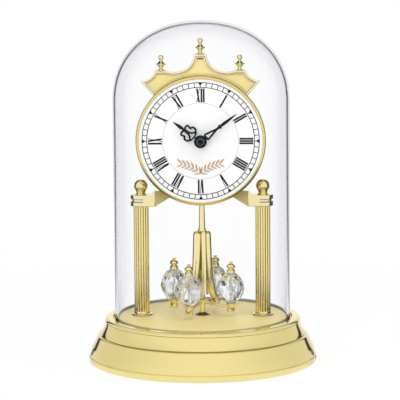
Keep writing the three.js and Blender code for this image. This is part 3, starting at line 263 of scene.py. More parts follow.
def makeGlass(name, clear, shaded, rim, foot, footTop, footReach, ior, passes, wave, lift, tint, depth,
              edgeStart=0.35, edgeEnd=0.85, shadow=(0.985, 0.987, 0.99)):
    material, tree, shader = openMaterial(name)
    tone = addNode(tree, "ShaderNodeGroup", {
        "Clear": (*clear, 1), "Shaded": (*shaded, 1), "Foot Top": footTop * mm,
        "Foot Reach": footReach * mm}, node_tree=glassTone).outputs
    # painted shade: the wall greys a little where it is seen edge on
    facing = addNode(tree, "ShaderNodeLayerWeight").outputs["Facing"]
    edge = ramp(tree, facing, edgeStart, edgeEnd, kind="SMOOTHSTEP")
    colour = blend(tree, edge, tone["Colour"], (*rim, 1))
    # painted shade: its foot is dark from within, and clear where the near wall is looked through
    within = calc(tree, "SUBTRACT", 1.0, addNode(tree, "ShaderNodeNewGeometry").outputs["Backfacing"])
    colour = blend(tree, calc(tree, "MULTIPLY", tone["Foot"], within), colour, (*foot, 1))
    noise = source(tree, "ShaderNodeTexNoise", {"Vector": objectPoint(tree), "Scale": wave, "Detail": 0})
    feed(tree, shader.inputs, {
        "Base Color": colour, "Roughness": 0.0, "IOR": ior, "Metallic": 0.0, "Transmission Weight": passes,
        "Normal": bumped(tree, noise, strength=0.3, distance=lift)})
    path = addNode(tree, "ShaderNodeLightPath").outputs
    unseen = calc(tree, "MAXIMUM", path["Is Shadow Ray"], path["Is Diffuse Ray"])
    passing = source(tree, "ShaderNodeBsdfTransparent", {"Color": (*shadow, 1)})
    surface = source(tree, "ShaderNodeMixShader", {"Fac": unseen, 1: shader.outputs["BSDF"], 2: passing})
    inside = source(tree, "ShaderNodeVolumeAbsorption", {"Color": (*tint, 1), "Density": depth})
    feed(tree, tree.nodes["Material Output"].inputs, {"Surface": surface, "Volume": inside})
    return material


looks = {name: makeFinish(name, **values) for name, values in finishes.items()}
looks.update({name: makeGlass(name, **values) for name, values in glasses.items()})
print("materials made:", len(looks))


# Mesh helpers. A shape is a list of points in millimetres and a list of faces.
def shapeMesh(name, shapes):
    points, faces = [], []
    for corners, sides in shapes:
        first = len(points)
        points += [tuple(c * mm for c in corner) for corner in corners]
        faces += [[first + i for i in side] for side in sides]
    mesh = bpy.data.meshes.new(name)
    mesh.from_pydata(points, [], faces)
    return mesh


# a finished piece from shapes or a mesh; tones are other looks for the faces whose middle passes a test
def addPiece(name, form, look, slot, *replaced, body="clock", sharp=32, tones=()):
    mesh = shapeMesh(name, form) if isinstance(form, list) else form
    whole = bmesh.new()
    whole.from_mesh(mesh)
    bmesh.ops.remove_doubles(whole, verts=whole.verts, dist=1e-6)
    bmesh.ops.dissolve_degenerate(whole, edges=whole.edges, dist=1e-7)
    bmesh.ops.recalc_face_normals(whole, faces=whole.faces)
    for side in whole.faces:
        side.smooth = True
    whole.to_mesh(mesh)
    whole.free()
    mesh.set_sharp_from_angle(angle=math.radians(sharp))
    mesh.materials.clear()
    mesh.materials.append(looks[look])
    for tone, test in tones:
        addTone(mesh, tone, [test(*(side.center / mm)) for side in mesh.polygons])
    mesh.name = name
    piece = bpy.data.objects.new(name, mesh)
    scene.collection.objects.link(piece)
    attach(piece, body)
    if replaced:
        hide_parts(*replaced)


def addTone(mesh, look, chosen):
    mesh.materials.append(looks[look])
    for side, isChosen in zip(mesh.polygons, chosen):
        if isChosen:
            side.material_index = len(mesh.materials) - 1


def joinMeshes(name, parts):
    whole = bmesh.new()
    for part in parts:
        whole.from_mesh(part)
    mesh = bpy.data.meshes.new(name)
    whole.to_mesh(mesh)
    whole.free()
    return mesh


def polar(radius, angle):
    return radius * math.cos(angle), radius * math.sin(angle)


def circleLine(radius, count, x=0.0, y=0.0):
    steps = [polar(radius, k * fullTurn / count) for k in range(count)]
    return [(x + across, y + along) for across, along in steps]


def bend(start, control, end, steps):
    a, b, c = Vector(start), Vector(control), Vector(end)
    shares = [k / steps for k in range(steps + 1)]
    return [tuple(a * (1 - t) ** 2 + b * 2 * t * (1 - t) + c * t * t) for t in shares]


# corners of (across, up, rounding) to a line; a curve at a corner takes at most half of each side
def soften(corners, steps=4, most=0.49):
    line = []
    for i, (x, z, *size) in enumerate(corners):
        if not size or i in (0, len(corners) - 1):
            line.append((x, z))
            continue
        here = Vector((x, z))
        reaches = [Vector(corners[i + step][:2]) - here for step in (-1, 1)]
        start, end = (here + reach.normalized() * min(size[0], reach.length * most) for reach in reaches)
        line += bend(start, here, end, steps)
    return line


# a closed line from a start on one side, round evenly rounded corners
def softLoop(start, corners, rounding, steps=4):
    return soften([start] + [(*corner, rounding) for corner in corners] + [start], steps)[:-1]


def raised(profile, height):
    return [(across, up + height, *size) for across, up, *size in profile]


# faces between rings of points that follow each other
def bandFaces(count, rings, wrap=False):
    faces = []
    for row in range(rings if wrap else rings - 1):
        low, high = row * count, (row + 1) % rings * count
        for k in range(count):
            after = (k + 1) % count
            faces.append([low + k, low + after, high + after, high + k])
    return faces


def loft(rings):
    count = len(rings[0])
    points = [point for ring in rings for point in ring]
    ends = [list(range(count)), list(range(len(points) - count, len(points)))]
    return points, bandFaces(count, len(rings)) + ends


# rings about the upright axis; a radius of nothing closes to a pole
def lathe(profile, sides, x=0.0, y=0.0):
    points, rings = [], []
    for radius, height in profile:
        count = 1 if radius < 1e-6 else sides
        rings.append(range(len(points), len(points) + count))
        points += [(*place, height) for place in circleLine(radius, sides, x, y)[:count]]
    faces = []
    for low, high in zip(rings, rings[1:]):
        for k in range(max(len(low), len(high))):
            corners = ((low, k), (low, k + 1), (high, k + 1), (high, k))
            side = list(dict.fromkeys(ring[step % len(ring)] for ring, step in corners))
            if len(side) > 2:
                faces.append(side)
    return points, faces


# the same about the axis through the dial, from (radius, depth) pairs
def latheFacing(profile, sides):
    points, faces = lathe(profile, sides)
    return [(x, z, y + dialHeight) for x, y, z in points], faces


# one turned shape over each column
def lathePair(profile, sides):
    return [lathe(profile, sides, x=side * columnOffset) for side in (-1, 1)]


def turnedAbout(shape, angle):
    points, faces = shape
    c, s = math.cos(angle), math.sin(angle)
    return [(x * c - y * s, x * s + y * c, z) for x, y, z in points], faces


def evaluatedMesh(holder):
    return bpy.data.meshes.new_from_object(holder.evaluated_get(bpy.context.evaluated_depsgraph_get()))


# flat outlines, holes among them, as a plate with rounded edges
def slabMesh(outlines, thickness, rounding):
    curve = bpy.data.curves.new("slab", "CURVE")
    curve.dimensions = "2D"
    curve.fill_mode = "BOTH"
    for outline in outlines:
        spline = curve.splines.new("POLY")
        spline.points.add(len(outline) - 1)
        for point, (x, y) in zip(spline.points, outline):
            point.co = (x * mm, y * mm, 0, 1)
        spline.use_cyclic_u = True
    curve.extrude = (thickness / 2 - rounding) * mm
    curve.bevel_depth = rounding * mm
    curve.bevel_resolution = 2
    curve.offset = -rounding * mm
    holder = bpy.data.objects.new("slab", curve)
    scene.collection.objects.link(holder)
    mesh = evaluatedMesh(holder)
    bpy.data.objects.remove(holder)
    bpy.data.curves.remove(curve)
    return mesh


def lyingSlab(outlines, thickness, rounding, low):
    mesh = slabMesh(outlines, thickness, rounding)
    mesh.transform(Matrix.Translation((0, 0, (low + thickness / 2) * mm)))
    return mesh


# a mesh that lies flat is stood up to face the front
def faceForward(mesh, front, thickness, height=dialHeight):
    place = Matrix.Translation((0, (front + thickness / 2) * mm, height * mm))
    mesh.transform(place @ Matrix.Rotation(math.pi / 2, 4, "X"))
    return mesh


def facingSlab(outlines, thickness, rounding, front, height=dialHeight):
    return faceForward(slabMesh(outlines, thickness, rounding), front, thickness, height)


# an outline round the dial's middle as an upright plate
def flatPrism(outline, front, back):
    return loft([[(x, y, dialHeight + z) for x, z in outline] for y in (front, back)])


def flatRing(radius, line, front, back):
    inner, outer = radius - line / 2, radius + line / 2
    return latheFacing([(inner, front), (outer, front), (outer, back), (inner, back), (inner, front)], 180)


def flipped(line):
    return [(-x, z) for x, z in reversed(line)]


def mirrored(half):
    return half + flipped([corner for corner in half if abs(corner[0]) > 1e-6])


# a smooth closed line through the given points
def through(points, steps=5):
    line = []
    for i in range(len(points)):
        a, b, c, d = (Vector(points[(i + k) % len(points)]) for k in (-1, 0, 1, 2))
        for t in (k / steps for k in range(steps)):
            line.append(tuple(0.5 * (2 * b + (c - a) * t + (2 * a - 5 * b + 4 * c - d) * t * t
                                     + (3 * b - a - 3 * c + d) * t ** 3)))
    return line


def insetLine(line, distance, least=0.35):
    moved = []
    for i, point in enumerate(line):
        before, here, after = Vector(line[i - 1]), Vector(point), Vector(line[(i + 1) % len(line)])
        first = Vector((before.y - here.y, here.x - before.x)).normalized()
        second = Vector((here.y - after.y, after.x - here.x)).normalized()
        moved.append(tuple(here + (first + second) * (distance / max(least, 1 + first.dot(second)))))
    return moved


# Geometry node helpers
def metres(sizes):
    return {label: size * mm for label, size in sizes.items()}


def openShape(name, values):
    return openTree(name, "GeometryNodeTree", values, {"Geometry": "Geometry"})


def joined(tree, *parts):
    node = addNode(tree, "GeometryNodeJoinGeometry")
    for part in parts:
        tree.links.new(part, node.inputs["Geometry"])
    return node.outputs["Geometry"]


def scatter(tree, points, shape, turn=0.0):
    ends = {"Points": points, "Instance": shape, "Rotation": combine(tree, 0.0, 0.0, turn)}
    return source(tree, "GeometryNodeInstanceOnPoints", ends)


def sweep(tree, path, section):
    ends = {"Curve": path, "Profile Curve": section, "Fill Caps": True}
    return source(tree, "GeometryNodeCurveToMesh", ends)


def scaled(tree, geometry, scale):
    return source(tree, "GeometryNodeTransform", {"Geometry": geometry, "Scale": scale})


def closeShape(tree, result, geometry, material):
    real = source(tree, "GeometryNodeRealizeInstances", {"Geometry": geometry})
    dressed = source(tree, "GeometryNodeSetMaterial", {"Geometry": real, "Material": material})
    feed(tree, result, {"Geometry": dressed})


def growMesh(name, tree, values):
    holder = bpy.data.objects.new(name, bpy.data.meshes.new(name))
    scene.collection.objects.link(holder)
    modifier = holder.modifiers.new("grow", "NODES")
    modifier.node_group = tree
    for item in tree.interface.items_tree:
        if item.item_type == "SOCKET" and item.in_out == "INPUT":
            modifier[item.identifier] = values[item.name]
    mesh = evaluatedMesh(holder)
    holder.modifiers.clear()
    bpy.data.objects.remove(holder)
    return mesh


# Base
base = dict(foot=76.2, lipTop=4.5, footLow=0.1, ledge=70.1, ledgeTop=18.1, rim=65.5, rimInner=60,
            rimTop=29.6, band=27.3, grooveFloor=26.5, plate=72.3, plateTop=4.5, wall=67.2, wallFoot=69.7,
            wallTop=16.2, shelf=24.5, shelfInner=50, riserInset=1.32, sides=180)


# a stepped ogee: rim band, cove, ledge, bulging flare and a round lip
def makeBaseShell(foot, lipTop, footLow, ledge, ledgeTop, rim, rimInner, rimTop, band, grooveFloor, plate,
                  plateTop, wall, wallFoot, wallTop, shelf, shelfInner, riserInset, sides):
    riser = ledge - riserInset
    neck, bulge = (rim - 0.3, band - 0.75), (ledge + 0.9, ledgeTop - 1.9)
    waist, hem = (ledge + 4.1, lipTop + 5.2), (foot - 0.75, lipTop + 0.2)
    outer = soften([
        (rimInner, grooveFloor), (rimInner, rimTop, 0.5), (rim - 1.6, rimTop, 0.9), (rim, rimTop - 1.4, 0.9),
        (rim, band, 0.25), (rim - 0.45, band - 0.3, 0.15), neck])
    cove = bend(neck, (rim + 0.5, ledgeTop + 3.4), (ledge - 1.2, ledgeTop + 0.75), 18)[1:]
    step = [(riser, ledgeTop + 0.7), (riser, ledgeTop + 0.1)]
    flare = bend(step[1], (ledge + 0.5, ledgeTop), bulge, 10)[1:]
    flare += bend(bulge, (ledge + 2.4, ledgeTop - 5.6), waist, 12)[1:]
    flare += bend(waist, (foot - 1.15, lipTop + 2.6), hem, 10)[1:]
    edge = soften([
        hem, (foot - 0.95, lipTop - 0.1, 0.12), (foot, lipTop - 0.5, 0.9), (foot, footLow + 0.4, 0.6),
        (foot - 0.6, footLow, 0.4), (plate, footLow)], 7)[1:]
    inside = [
        (plate, plateTop), (wallFoot, plateTop), (wall, wallTop), (rimInner, shelf), (shelfInner, shelf),
        (shelfInner, grooveFloor), (rimInner, grooveFloor)]

    # painted shade: a dark line in the crease under the rim band and on the riser below the cove
    def isCreased(x, y, z):
        across = math.hypot(x, y)
        underRim = across < rim - 0.1 and band - 0.5 < z < band - 0.05
        onRiser = abs(across - riser) < 0.1 and ledgeTop + 0.15 < z < ledgeTop + 0.72
        return across > rimInner + 2 and (underRim or onRiser)

    shape = lathe(outer + cove + step + flare + edge + inside, sides)
    addPiece("brass_base", [shape], "polishedBrass", "polished_brass", "base_shell", sharp=38,
             tones=[("paintedShadeBrass", isCreased)])


deck = dict(radius=55.9, top=30, low=26.5, edge=0.35, hole=2.2)


def makeDeck(radius, top, low, edge, hole):
    holes = [circleLine(hole, 24, side * columnOffset) for side in (-1, 1)]
    mesh = lyingSlab([circleLine(radius, 160)] + holes, top - low, edge, low)
    addPiece("satin_deck", mesh, "satinBrass", "satin_brass", "base_deck")


felt = dict(radius=72, thick=1.5, edge=0.5, rings=26, sides=120, nap=0.05, lift=0.06)


def makeFelt(radius, thick, edge, rings, sides, nap, lift):
    inner = [(radius * k / rings, lift) for k in range(rings - 1)]
    top = thick - 0.01
    under = soften([
        (radius * 0.96, lift), (radius - 0.2, 0.0, edge), (radius, thick, edge), (radius - 3, top)])
    points, faces = lathe(inner + under + [(0, top)], sides)
    # fibres lift the underside a little, never past the floor
    fuzzy = []
    for x, y, z in points:
        fibre = nap * math.sin(x * 3.1 + y * 1.7) * math.sin(y * 2.9 - x * 0.8)
        fuzzy.append((x, y, max(0.0, z + fibre) if z < thick / 3 else z))
    addPiece("felt_underside", [(fuzzy, faces)], "felt", "felt", "felt_pad")


guide = dict(radius=4.9, rise=0.55, boss=3.4, top=1.3, hole=2.4, floor=0.4)


def makeGuide(radius, rise, boss, top, hole, floor):
    profile = [(0, 0), (radius, 0, 0.1), (radius, rise, 0.35), (boss, rise, 0.2), (boss, top, 0.3),
               (hole, top, 0.2), (hole, floor, 0.1), (0, floor)]
    shape = lathe(soften(raised(profile, deck["top"])), 48)
    # painted shade: the guide is coloured near-black brass
    addPiece("spindle_guide", [shape], "shadowBrass", "polished_brass", "pendulum_guide")


makeBaseShell(**base)
makeDeck(**deck)
makeFelt(**felt)
makeGuide(**guide)
print("base done")


# Columns, their feet and the ball finials
column = dict(radius=5.1, depth=0.55, reeds=16, low=32, high=103.8, valley=0.42, pointsPerReed=10)


def makeColumns(radius, depth, reeds, low, high, valley, pointsPerReed):
    values = {"Reeds": reeds, **metres(
        {"Radius": radius, "Depth": depth, "Low": low, "High": high, "Offset": columnOffset})}
    tree, given, result = openShape("reededColumns", values)
    ring = source(tree, "GeometryNodeCurvePrimitiveCircle", {
        "Resolution": calc(tree, "MULTIPLY", given["Reeds"], pointsPerReed), "Radius": given["Radius"]})
    where = source(tree, "GeometryNodeInputPosition")
    part = split(tree, where)
    angle = calc(tree, "ARCTAN2", part["Y"], part["X"])
    phase = calc(tree, "MULTIPLY", angle, calc(tree, "DIVIDE", given["Reeds"], 2))
    wave = calc(tree, "ABSOLUTE", calc(tree, "SINE", phase))
    share = calc(tree, "DIVIDE", given["Depth"], given["Radius"])
    keep = calc(tree, "SUBTRACT", 1.0, calc(tree, "MULTIPLY", calc(tree, "SUBTRACT", 1.0, wave), share))
    shrink = combine(tree, keep, keep, 1.0)
    moved = source(tree, "ShaderNodeVectorMath", {0: where, 1: shrink}, operation="MULTIPLY")
    section = source(tree, "GeometryNodeSetPosition", {"Geometry": ring, "Position": moved})
    start, end = (combine(tree, 0.0, 0.0, given[label]) for label in ("Low", "High"))
    line = source(tree, "GeometryNodeCurvePrimitiveLine", {"Start": start, "End": end})
    left = combine(tree, calc(tree, "MULTIPLY", given["Offset"], -1.0))
    pair = source(tree, "GeometryNodeMeshLine", {
        "Count": 2, "Start Location": left, "Offset": combine(tree, given["Offset"])}, mode="END_POINTS")
    closeShape(tree, result, scatter(tree, pair, sweep(tree, line, section)), looks["polishedBrass"])

    # painted shade: the deepest part of each reed valley is coloured dark
    def isValley(x, y, z):
        return math.hypot(abs(x) - columnOffset, y) < radius - valley

    addPiece("reeded_columns", growMesh("reeded_columns", tree, values), "polishedBrass", "polished_brass",
             "column_left", "column_right", sharp=40, tones=[("paintedShadeBrass", isValley)])


columnFoot = dict(radius=7.2, low=30, high=31.3, seat=6.6, cone=5.9, coneTop=32.5, inner=5.12)


def makeColumnFeet(radius, low, high, seat, cone, coneTop, inner):
    profile = soften([
        (0, low), (seat, low, 0.1), (seat, low + 0.3, 0.1), (radius - 0.15, low + 0.4, 0.15),
        (radius, low + 0.75, 0.25), (radius - 0.5, high - 0.1, 0.25), (cone, high + 0.05, 0.3),
        (inner + 0.2, coneTop - 0.4, 0.4), (inner, coneTop), (0, coneTop)])

    # painted shade: the lowest step of each foot is near-black
    def isSeat(x, y, z):
        return low + 0.02 < z < low + 0.38

    addPiece("column_feet", lathePair(profile, 56), "clearBrass", "polished_brass", "column_foot_left",
             "column_foot_right", tones=[("shadowBrass", isSeat)])


ball = dict(radius=4.55, centre=117.1, neck=3.3, low=111.3, neckTop=112.6, steps=22)


def makeBalls(radius, centre, neck, low, neckTop, steps):
    start = -math.acos(neck / radius)
    arc = [start + k / steps * (math.pi / 2 - start) for k in range(steps)]
    profile = soften([
        (0, low), (neck + 0.5, low, 0.2), (neck + 0.5, low + 0.5, 0.25), (neck - 0.4, neckTop - 0.3, 0.3),
        (neck, neckTop + 0.6)])[:-1]
    profile += raised([polar(radius, angle) for angle in arc], centre) + [(0, centre + radius)]
    addPiece("ball_finials", lathePair(profile, 56), "softBrass", "polished_brass", "ball_finial_left",
             "ball_finial_right")


makeColumns(**column)
makeColumnFeet(**columnFoot)
makeBalls(**ball)
print("columns done")


# Dial case with its arms and capitals
case = dict(radius=41.6, wall=1.6, lip=0.6, front=-14.2, back=7.8, plate=1.5,
            opening=dict(width=60.6, height=48.6, bayWidth=22.6, bayDrop=13))


def movementOutline(width, height, bayWidth, bayDrop, rounding=1.2):
    side, top, bay = width / 2, height / 2, bayWidth / 2
    low = -top - bayDrop
    right = [(bay, low), (bay, -top), (side, -top), (side, top)]
    return softLoop((0, low), right + flipped(right), rounding, 5)


def makeDrum(radius, wall, lip, front, back, plate, opening):
    inner = radius - wall
    edge, plateFront = inner - lip, back - plate
    ring = soften([
        (inner, front), (radius, front, 0.2), (radius, back, 0.8), (edge, back, 0.2),
        (edge, plateFront, 0.1), (inner, plateFront), (inner, front)])
    addPiece("dial_drum", [latheFacing(ring, 160)], "clearBrass", "polished_brass", "dial_case")
    outlines = [circleLine(inner - lip / 2, 128), movementOutline(**opening)]
    addPiece("drum_back", facingSlab(outlines, plate, 0.25, plateFront), "satinBrass", "satin_brass")


trim = dict(front=7.0, rise=0.45, sink=0.1, edge=0.15, width=59.2, height=47.2, bayWidth=21.2, bayDrop=12.8,
            border=1.2, ribs=7, ribWidth=1.1, ribLow=-21, ribHigh=2.5, ribStart=7, ribStep=3, door=7.3,
            doorHalf=28, doorWidth=1.2)


def stripLine(low, high, left, right):
    corners = [(right, low), (right, high), (left, high), (left, low)]
    return softLoop(((left + right) / 2, low), corners, 0.4)


# a raised border, a sill below the battery and a row of ribs on the movement's cover
def makeCoverTrim(front, rise, sink, edge, width, height, bayWidth, bayDrop, border, ribs, ribWidth, ribLow,
                  ribHigh, ribStart, ribStep, door, doorHalf, doorWidth):
    inset = 2 * border
    outlines = [[movementOutline(width, height, bayWidth, bayDrop),
                 movementOutline(width - inset, height - inset, bayWidth - inset, bayDrop, 0.8)],
                [stripLine(door - doorWidth, door, -doorHalf, doorHalf)]]
    for k in range(ribs):
        left = ribStart + k * ribStep
        outlines.append([stripLine(ribLow, ribHigh, left, left + ribWidth)])
    parts = [facingSlab(lines, rise + sink, edge, front - sink) for lines in outlines]
    addPiece("cover_trim", joinMeshes("cover_trim", parts), "greyPlastic", "black_plastic")


knob = dict(x=-10.392, height=130.2, radius=5.0, front=7.5, back=11.0, ribs=30, rib=0.32, ribSides=10,
            dish=0.5)


# a knurled grip round the setting knob and a dished face on it
def makeKnobGrip(x, height, radius, front, back, ribs, rib, ribSides, dish):
    half = (back - front) / 2
    floor = half - 0.05
    profile = soften([
        (0, floor), (radius - 1.6, floor, 0.3), (radius - 1.2, floor + dish, 0.2),
        (radius - 0.1, floor + dish, 0.3), (radius + 0.12, half - 0.5, 0.2), (radius + 0.12, -half, 0.1),
        (radius - 0.2, -half)])
    blank = bpy.data.objects.new("knob_face", shapeMesh("knob_face", [lathe(profile, 60)]))
    scene.collection.objects.link(blank)
    sizes = metres({"Radius": radius, "Rib": rib, "Length": 2 * half - 0.6})
    values = {"Ribs": ribs, "Face": blank, **sizes}
    tree, given, result = openShape("knurledGrip", values)
    ring = source(tree, "GeometryNodeMeshCircle", {"Vertices": given["Ribs"], "Radius": given["Radius"]})
    bar = source(tree, "GeometryNodeMeshCylinder", {
        "Vertices": ribSides, "Radius": given["Rib"], "Depth": given["Length"]})
    dished = addNode(tree, "GeometryNodeObjectInfo", {"Object": given["Face"]}).outputs["Geometry"]
    closeShape(tree, result, joined(tree, scatter(tree, ring, bar), dished), looks["whitePlastic"])
    mesh = growMesh("knob_grip", tree, values)
    bpy.data.objects.remove(blank)
    place = Matrix.Translation((x * mm, (front + half) * mm, height * mm))
    mesh.transform(place @ Matrix.Rotation(-math.pi / 2, 4, "X"))
    addPiece("knob_grip", mesh, "whitePlastic", "white_plastic", body="setting_knob")


battery = dict(depth=0.6, height=163.1, radius=7.25, end=25.23, shoulder=24.05, tip=2.6, sides=64,
               bandStart=14, bandEnd=16.4)


# a dry cell along the movement: sleeve with crimped ends, a pale band and metal end plates
def makeBattery(depth, height, radius, end, shoulder, tip, sides, bandStart, bandEnd):
    profile = soften([
        (0, -end), (radius - 2.2, -end, 0.2), (radius - 1.9, 0.35 - end), (radius - 1.0, 0.35 - end),
        (radius - 0.7, 0.05 - end, 0.2), (radius, 0.5 - end, 0.5), (radius, bandStart), (radius, bandEnd),
        (radius, shoulder - 0.5, 0.5), (radius - 0.7, shoulder, 0.2), (radius - 1.0, shoulder - 0.3),
        (tip + 0.3, shoulder - 0.3), (tip, shoulder), (tip, end, 0.3), (0, end)])
    points, faces = lathe(profile, sides)
    lying = [(z, depth + x, height + y) for x, y, z in points]

    def isEnd(x, y, z):
        return abs(x) > shoulder - 1 and math.hypot(y - depth, z - height) < radius - 0.9

    def isBand(x, y, z):
        return bandStart < x < bandEnd and math.hypot(y - depth, z - height) > radius - 0.3

    addPiece("dry_cell", [(lying, faces)], "batterySleeve", "battery_sleeve", "battery", body="battery",
             tones=[("steel", isEnd), ("whitePlastic", isBand)])


capital = dict(low=103.8, height=7.5, radius=7, groove=1.7, sink=1.2, corner=30.9, square=38.6,
               rampReach=2.7, rampTop=114.4, gussetReach=17, gussetSlope=0.56, recede=10, fall=4, edge=0.35,
               slotStart=36, slotEnd=45.4, joint=0.42)


def capitalPlan(radius, inner, steps=24):
    angles = [-math.pi / 2 + k / steps * math.pi for k in range(steps + 1)]
    arc = [(columnOffset + x, y) for x, y in (polar(radius, angle) for angle in angles)]
    return [(inner, -radius)] + arc + [(inner, radius)]


def makeCapitals(low, height, radius, groove, sink, corner, square, rampReach, rampTop, gussetReach,
                 gussetSlope, recede, fall, edge, slotStart, slotEnd, joint):
    slab = (height - groove) / 2
    top, inside = low + height, corner + 2
    lower, upper = low + slab, top - slab
    plan = capitalPlan(radius, inside)
    layers = [(plan, slab, edge, low), (capitalPlan(radius - sink, inside), groove + 0.4, 0.1, lower - 0.2),
              (plan, slab, edge, upper)]
    block = [(corner, low - 0.02), (square, low - 0.02), (square, top + 0.02),
             (corner + rampReach, top + 0.02), (corner, rampTop)]
    # the bracket narrows and steps back from the block to the drum; its top falls away behind
    front, back = 0.08 - radius, radius - 0.3
    ends = ((corner + 0.1, front, low + 0.03),
            (corner - gussetReach, front + recede, low + gussetReach * gussetSlope))
    rings = [[(x, ahead, under), (x, back, under), (x, back, rampTop - fall), (x, ahead, rampTop - 0.05)]
             for x, ahead, under in ends]

    # painted shade along the joints of the slabs and in the outer end of the groove, and a painted highlight
    # in the groove's middle stretch
    def isGroove(x, y, z):
        atJoint = abs(x) > slotStart and min(abs(z - lower), abs(z - upper)) < joint
        return atJoint or (lower + joint < z < upper - joint and abs(x) >= slotEnd)

    def isSlot(x, y, z):
        return lower + joint < z < upper - joint and slotStart < abs(x) < slotEnd

    for label, turn in (("right", 1), ("left", -1)):
        flip = Matrix.Scale(turn, 4, (1, 0, 0))
        bracket = shapeMesh("bracket", [loft(rings)])
        bracket.transform(flip)
        # painted shade: the brackets are coloured darker than the capitals
        addPiece("bracket_" + label, bracket, "shadedCastBrass", "polished_brass")
        parts = [lyingSlab([line], thick, rounding, z) for line, thick, rounding, z in layers]
        parts.append(facingSlab([block], 2 * radius + 0.06, edge, -radius - 0.03, height=0))
        mesh = joinMeshes("capital_" + label, parts)
        mesh.transform(flip)
        addPiece("capital_" + label, mesh, "clearBrass", "polished_brass",
                 tones=[("paintedShadeBrass", isGroove), ("paintedHighlightBrass", isSlot)])


bezel = dict(opening=40.6, radius=42.7, front=-15.7, back=-12, dial=-15, slope=0.9, grip=0.2)


# a ring whose face leans outwards, so that its lower half mirrors the base
def makeBezel(opening, radius, front, back, dial, slope, grip):
    seat = case["radius"] + grip
    ring = soften([
        (opening, dial), (opening, front + 0.3, 0.2), (opening + 0.35, front, 0.25),
        (radius - 0.35, front + slope, 0.4), (radius, front + slope + 0.6, 0.4), (radius, back, 0.15),
        (seat, back), (seat, dial), (opening, dial)])
    addPiece("bezel_ring", [latheFacing(ring, 180)], "bezelBrass", "polished_brass", "bezel")


makeDrum(**case)
makeCoverTrim(**trim)
makeKnobGrip(**knob)
makeBattery(**battery)
makeCapitals(**capital)
makeBezel(**bezel)
print("case done")


# Dial and its print
dial = dict(radius=41.6, front=-15, thick=0.8, hole=3.3, edge=0.08)


def makeDial(radius, front, thick, hole, edge):
    outlines = [circleLine(radius, 144), circleLine(hole, 40)]
    addPiece("dial_plate", facingSlab(outlines, thick, edge, front), "dialWhite", "dial_white", "dial")


ink = dict(front=-15.06, thick=0.06, layer=0.006)
lettering = dict(low=25.5, high=34.5, thick=1.16, thin=0.38, serif=0.28, narrow=1.5, middle=2.85, wide=3.05)
numerals = ["XII", "I", "II", "III", "IIII", "V", "VI", "VII", "VIII", "IX", "X", "XI"]


# a letter's width, and its strokes as (polygon, layer), drawn from its left foot
def letterStrokes(letter, low, high, thick, thin, serif, narrow, middle, wide):
    tall = high - low
    cap = tall - serif

    def bar(left, right, level):
        return [(left, level), (right, level), (right, level + serif), (left, level + serif)], 1

    def lean(foot, head, width, layer):
        return [(foot, 0), (foot + width, 0), (head + width, tall), (head, tall)], layer

    if letter == "I":
        left, end = (narrow - thick) / 2, narrow - 0.03
        return narrow, [lean(left, left, thick, 0), bar(0.03, end, 0), bar(0.03, end, cap)]
    if letter == "V":
        apex = middle / 2 - thick / 2
        return middle, [lean(apex, 0.3, thick, 0), lean(apex + thick - thin, middle - 0.55, thin, 2),
                        bar(0.02, 1.4, cap), bar(middle - 0.9, middle - 0.02, cap)]
    return wide, [lean(wide - 0.3 - thick, 0.3, thick, 0), lean(0.45, wide - 0.7, thin, 2),
                  bar(0.03, 1.0, 0), bar(wide - 1.4, wide - 0.02, 0), bar(0.02, 1.4, cap),
                  bar(wide - 1.05, wide - 0.03, cap)]


def numeralShapes(front, thick, layer):
    shapes = []
    for hour, word in enumerate(numerals):
        angle = hour * fullTurn / 12
        out = Vector((math.sin(angle), math.cos(angle)))
        across = Vector((math.cos(angle), -math.sin(angle)))
        letters = [letterStrokes(letter, **lettering) for letter in word]
        cursor = -sum(width for width, strokes in letters) / 2
        for width, strokes in letters:
            for polygon, level in strokes:
                line = [tuple(across * (cursor + u) + out * (lettering["low"] + v)) for u, v in polygon]
                shapes.append(flatPrism(line, front + level * layer, front + thick))
            cursor += width
    return shapes


track = dict(outer=38.4, inner=35.3, line=0.5, lift=0.004, tick=0.48, ticks=60, wedge=1.6, wedges=12)


# two rings, with sixty ticks between them and a wedge at each hour
def makePrint(outer, inner, line, lift, tick, ticks, wedge, wedges):
    front, thick = ink["front"], ink["thick"]
    rings = [flatRing(radius, line, front - lift, front + thick) for radius in (outer, inner)]
    addPiece("dial_numerals", rings + numeralShapes(**ink), "dialInk", "dial_ink")
    values = {"Count": ticks, "Wedge Count": wedges, **metres({
        "Radius": (outer + inner) / 2, "Long": outer - inner, "Wide": tick, "Thick": thick,
        "Wedge Radius": outer - wedge * 0.5, "Wedge Size": wedge})}
    tree, given, result = openShape("minuteTrack", values)
    size = combine(tree, given["Long"], given["Wide"], given["Thick"])
    tickShape = source(tree, "GeometryNodeMeshCube", {"Size": size})
    wedgeShape = source(tree, "GeometryNodeMeshCylinder", {
        "Vertices": 3, "Radius": given["Wedge Size"], "Depth": given["Thick"]})
    rows = []
    for label, shape, turn in (("", tickShape, 0.0), ("Wedge ", wedgeShape, math.pi)):
        count = given[label + "Count"]
        ring = source(tree, "GeometryNodeMeshCircle", {"Vertices": count, "Radius": given[label + "Radius"]})
        share = calc(tree, "DIVIDE", source(tree, "GeometryNodeInputIndex"), count)
        angle = calc(tree, "ADD", calc(tree, "MULTIPLY", share, fullTurn), turn)
        rows.append(scatter(tree, ring, shape, angle))
    closeShape(tree, result, joined(tree, *rows), looks["dialInk"])
    mesh = faceForward(growMesh("minute_track", tree, values), front, thick)
    addPiece("minute_track", mesh, "dialInk", "dial_ink")


chapter = dict(radius=24.95, line=0.3, front=-15.045, back=-15)


def makeChapterRing(radius, line, front, back):
    addPiece("chapter_ring", [flatRing(radius, line, front, back)], "dialTan", "dial_tan")


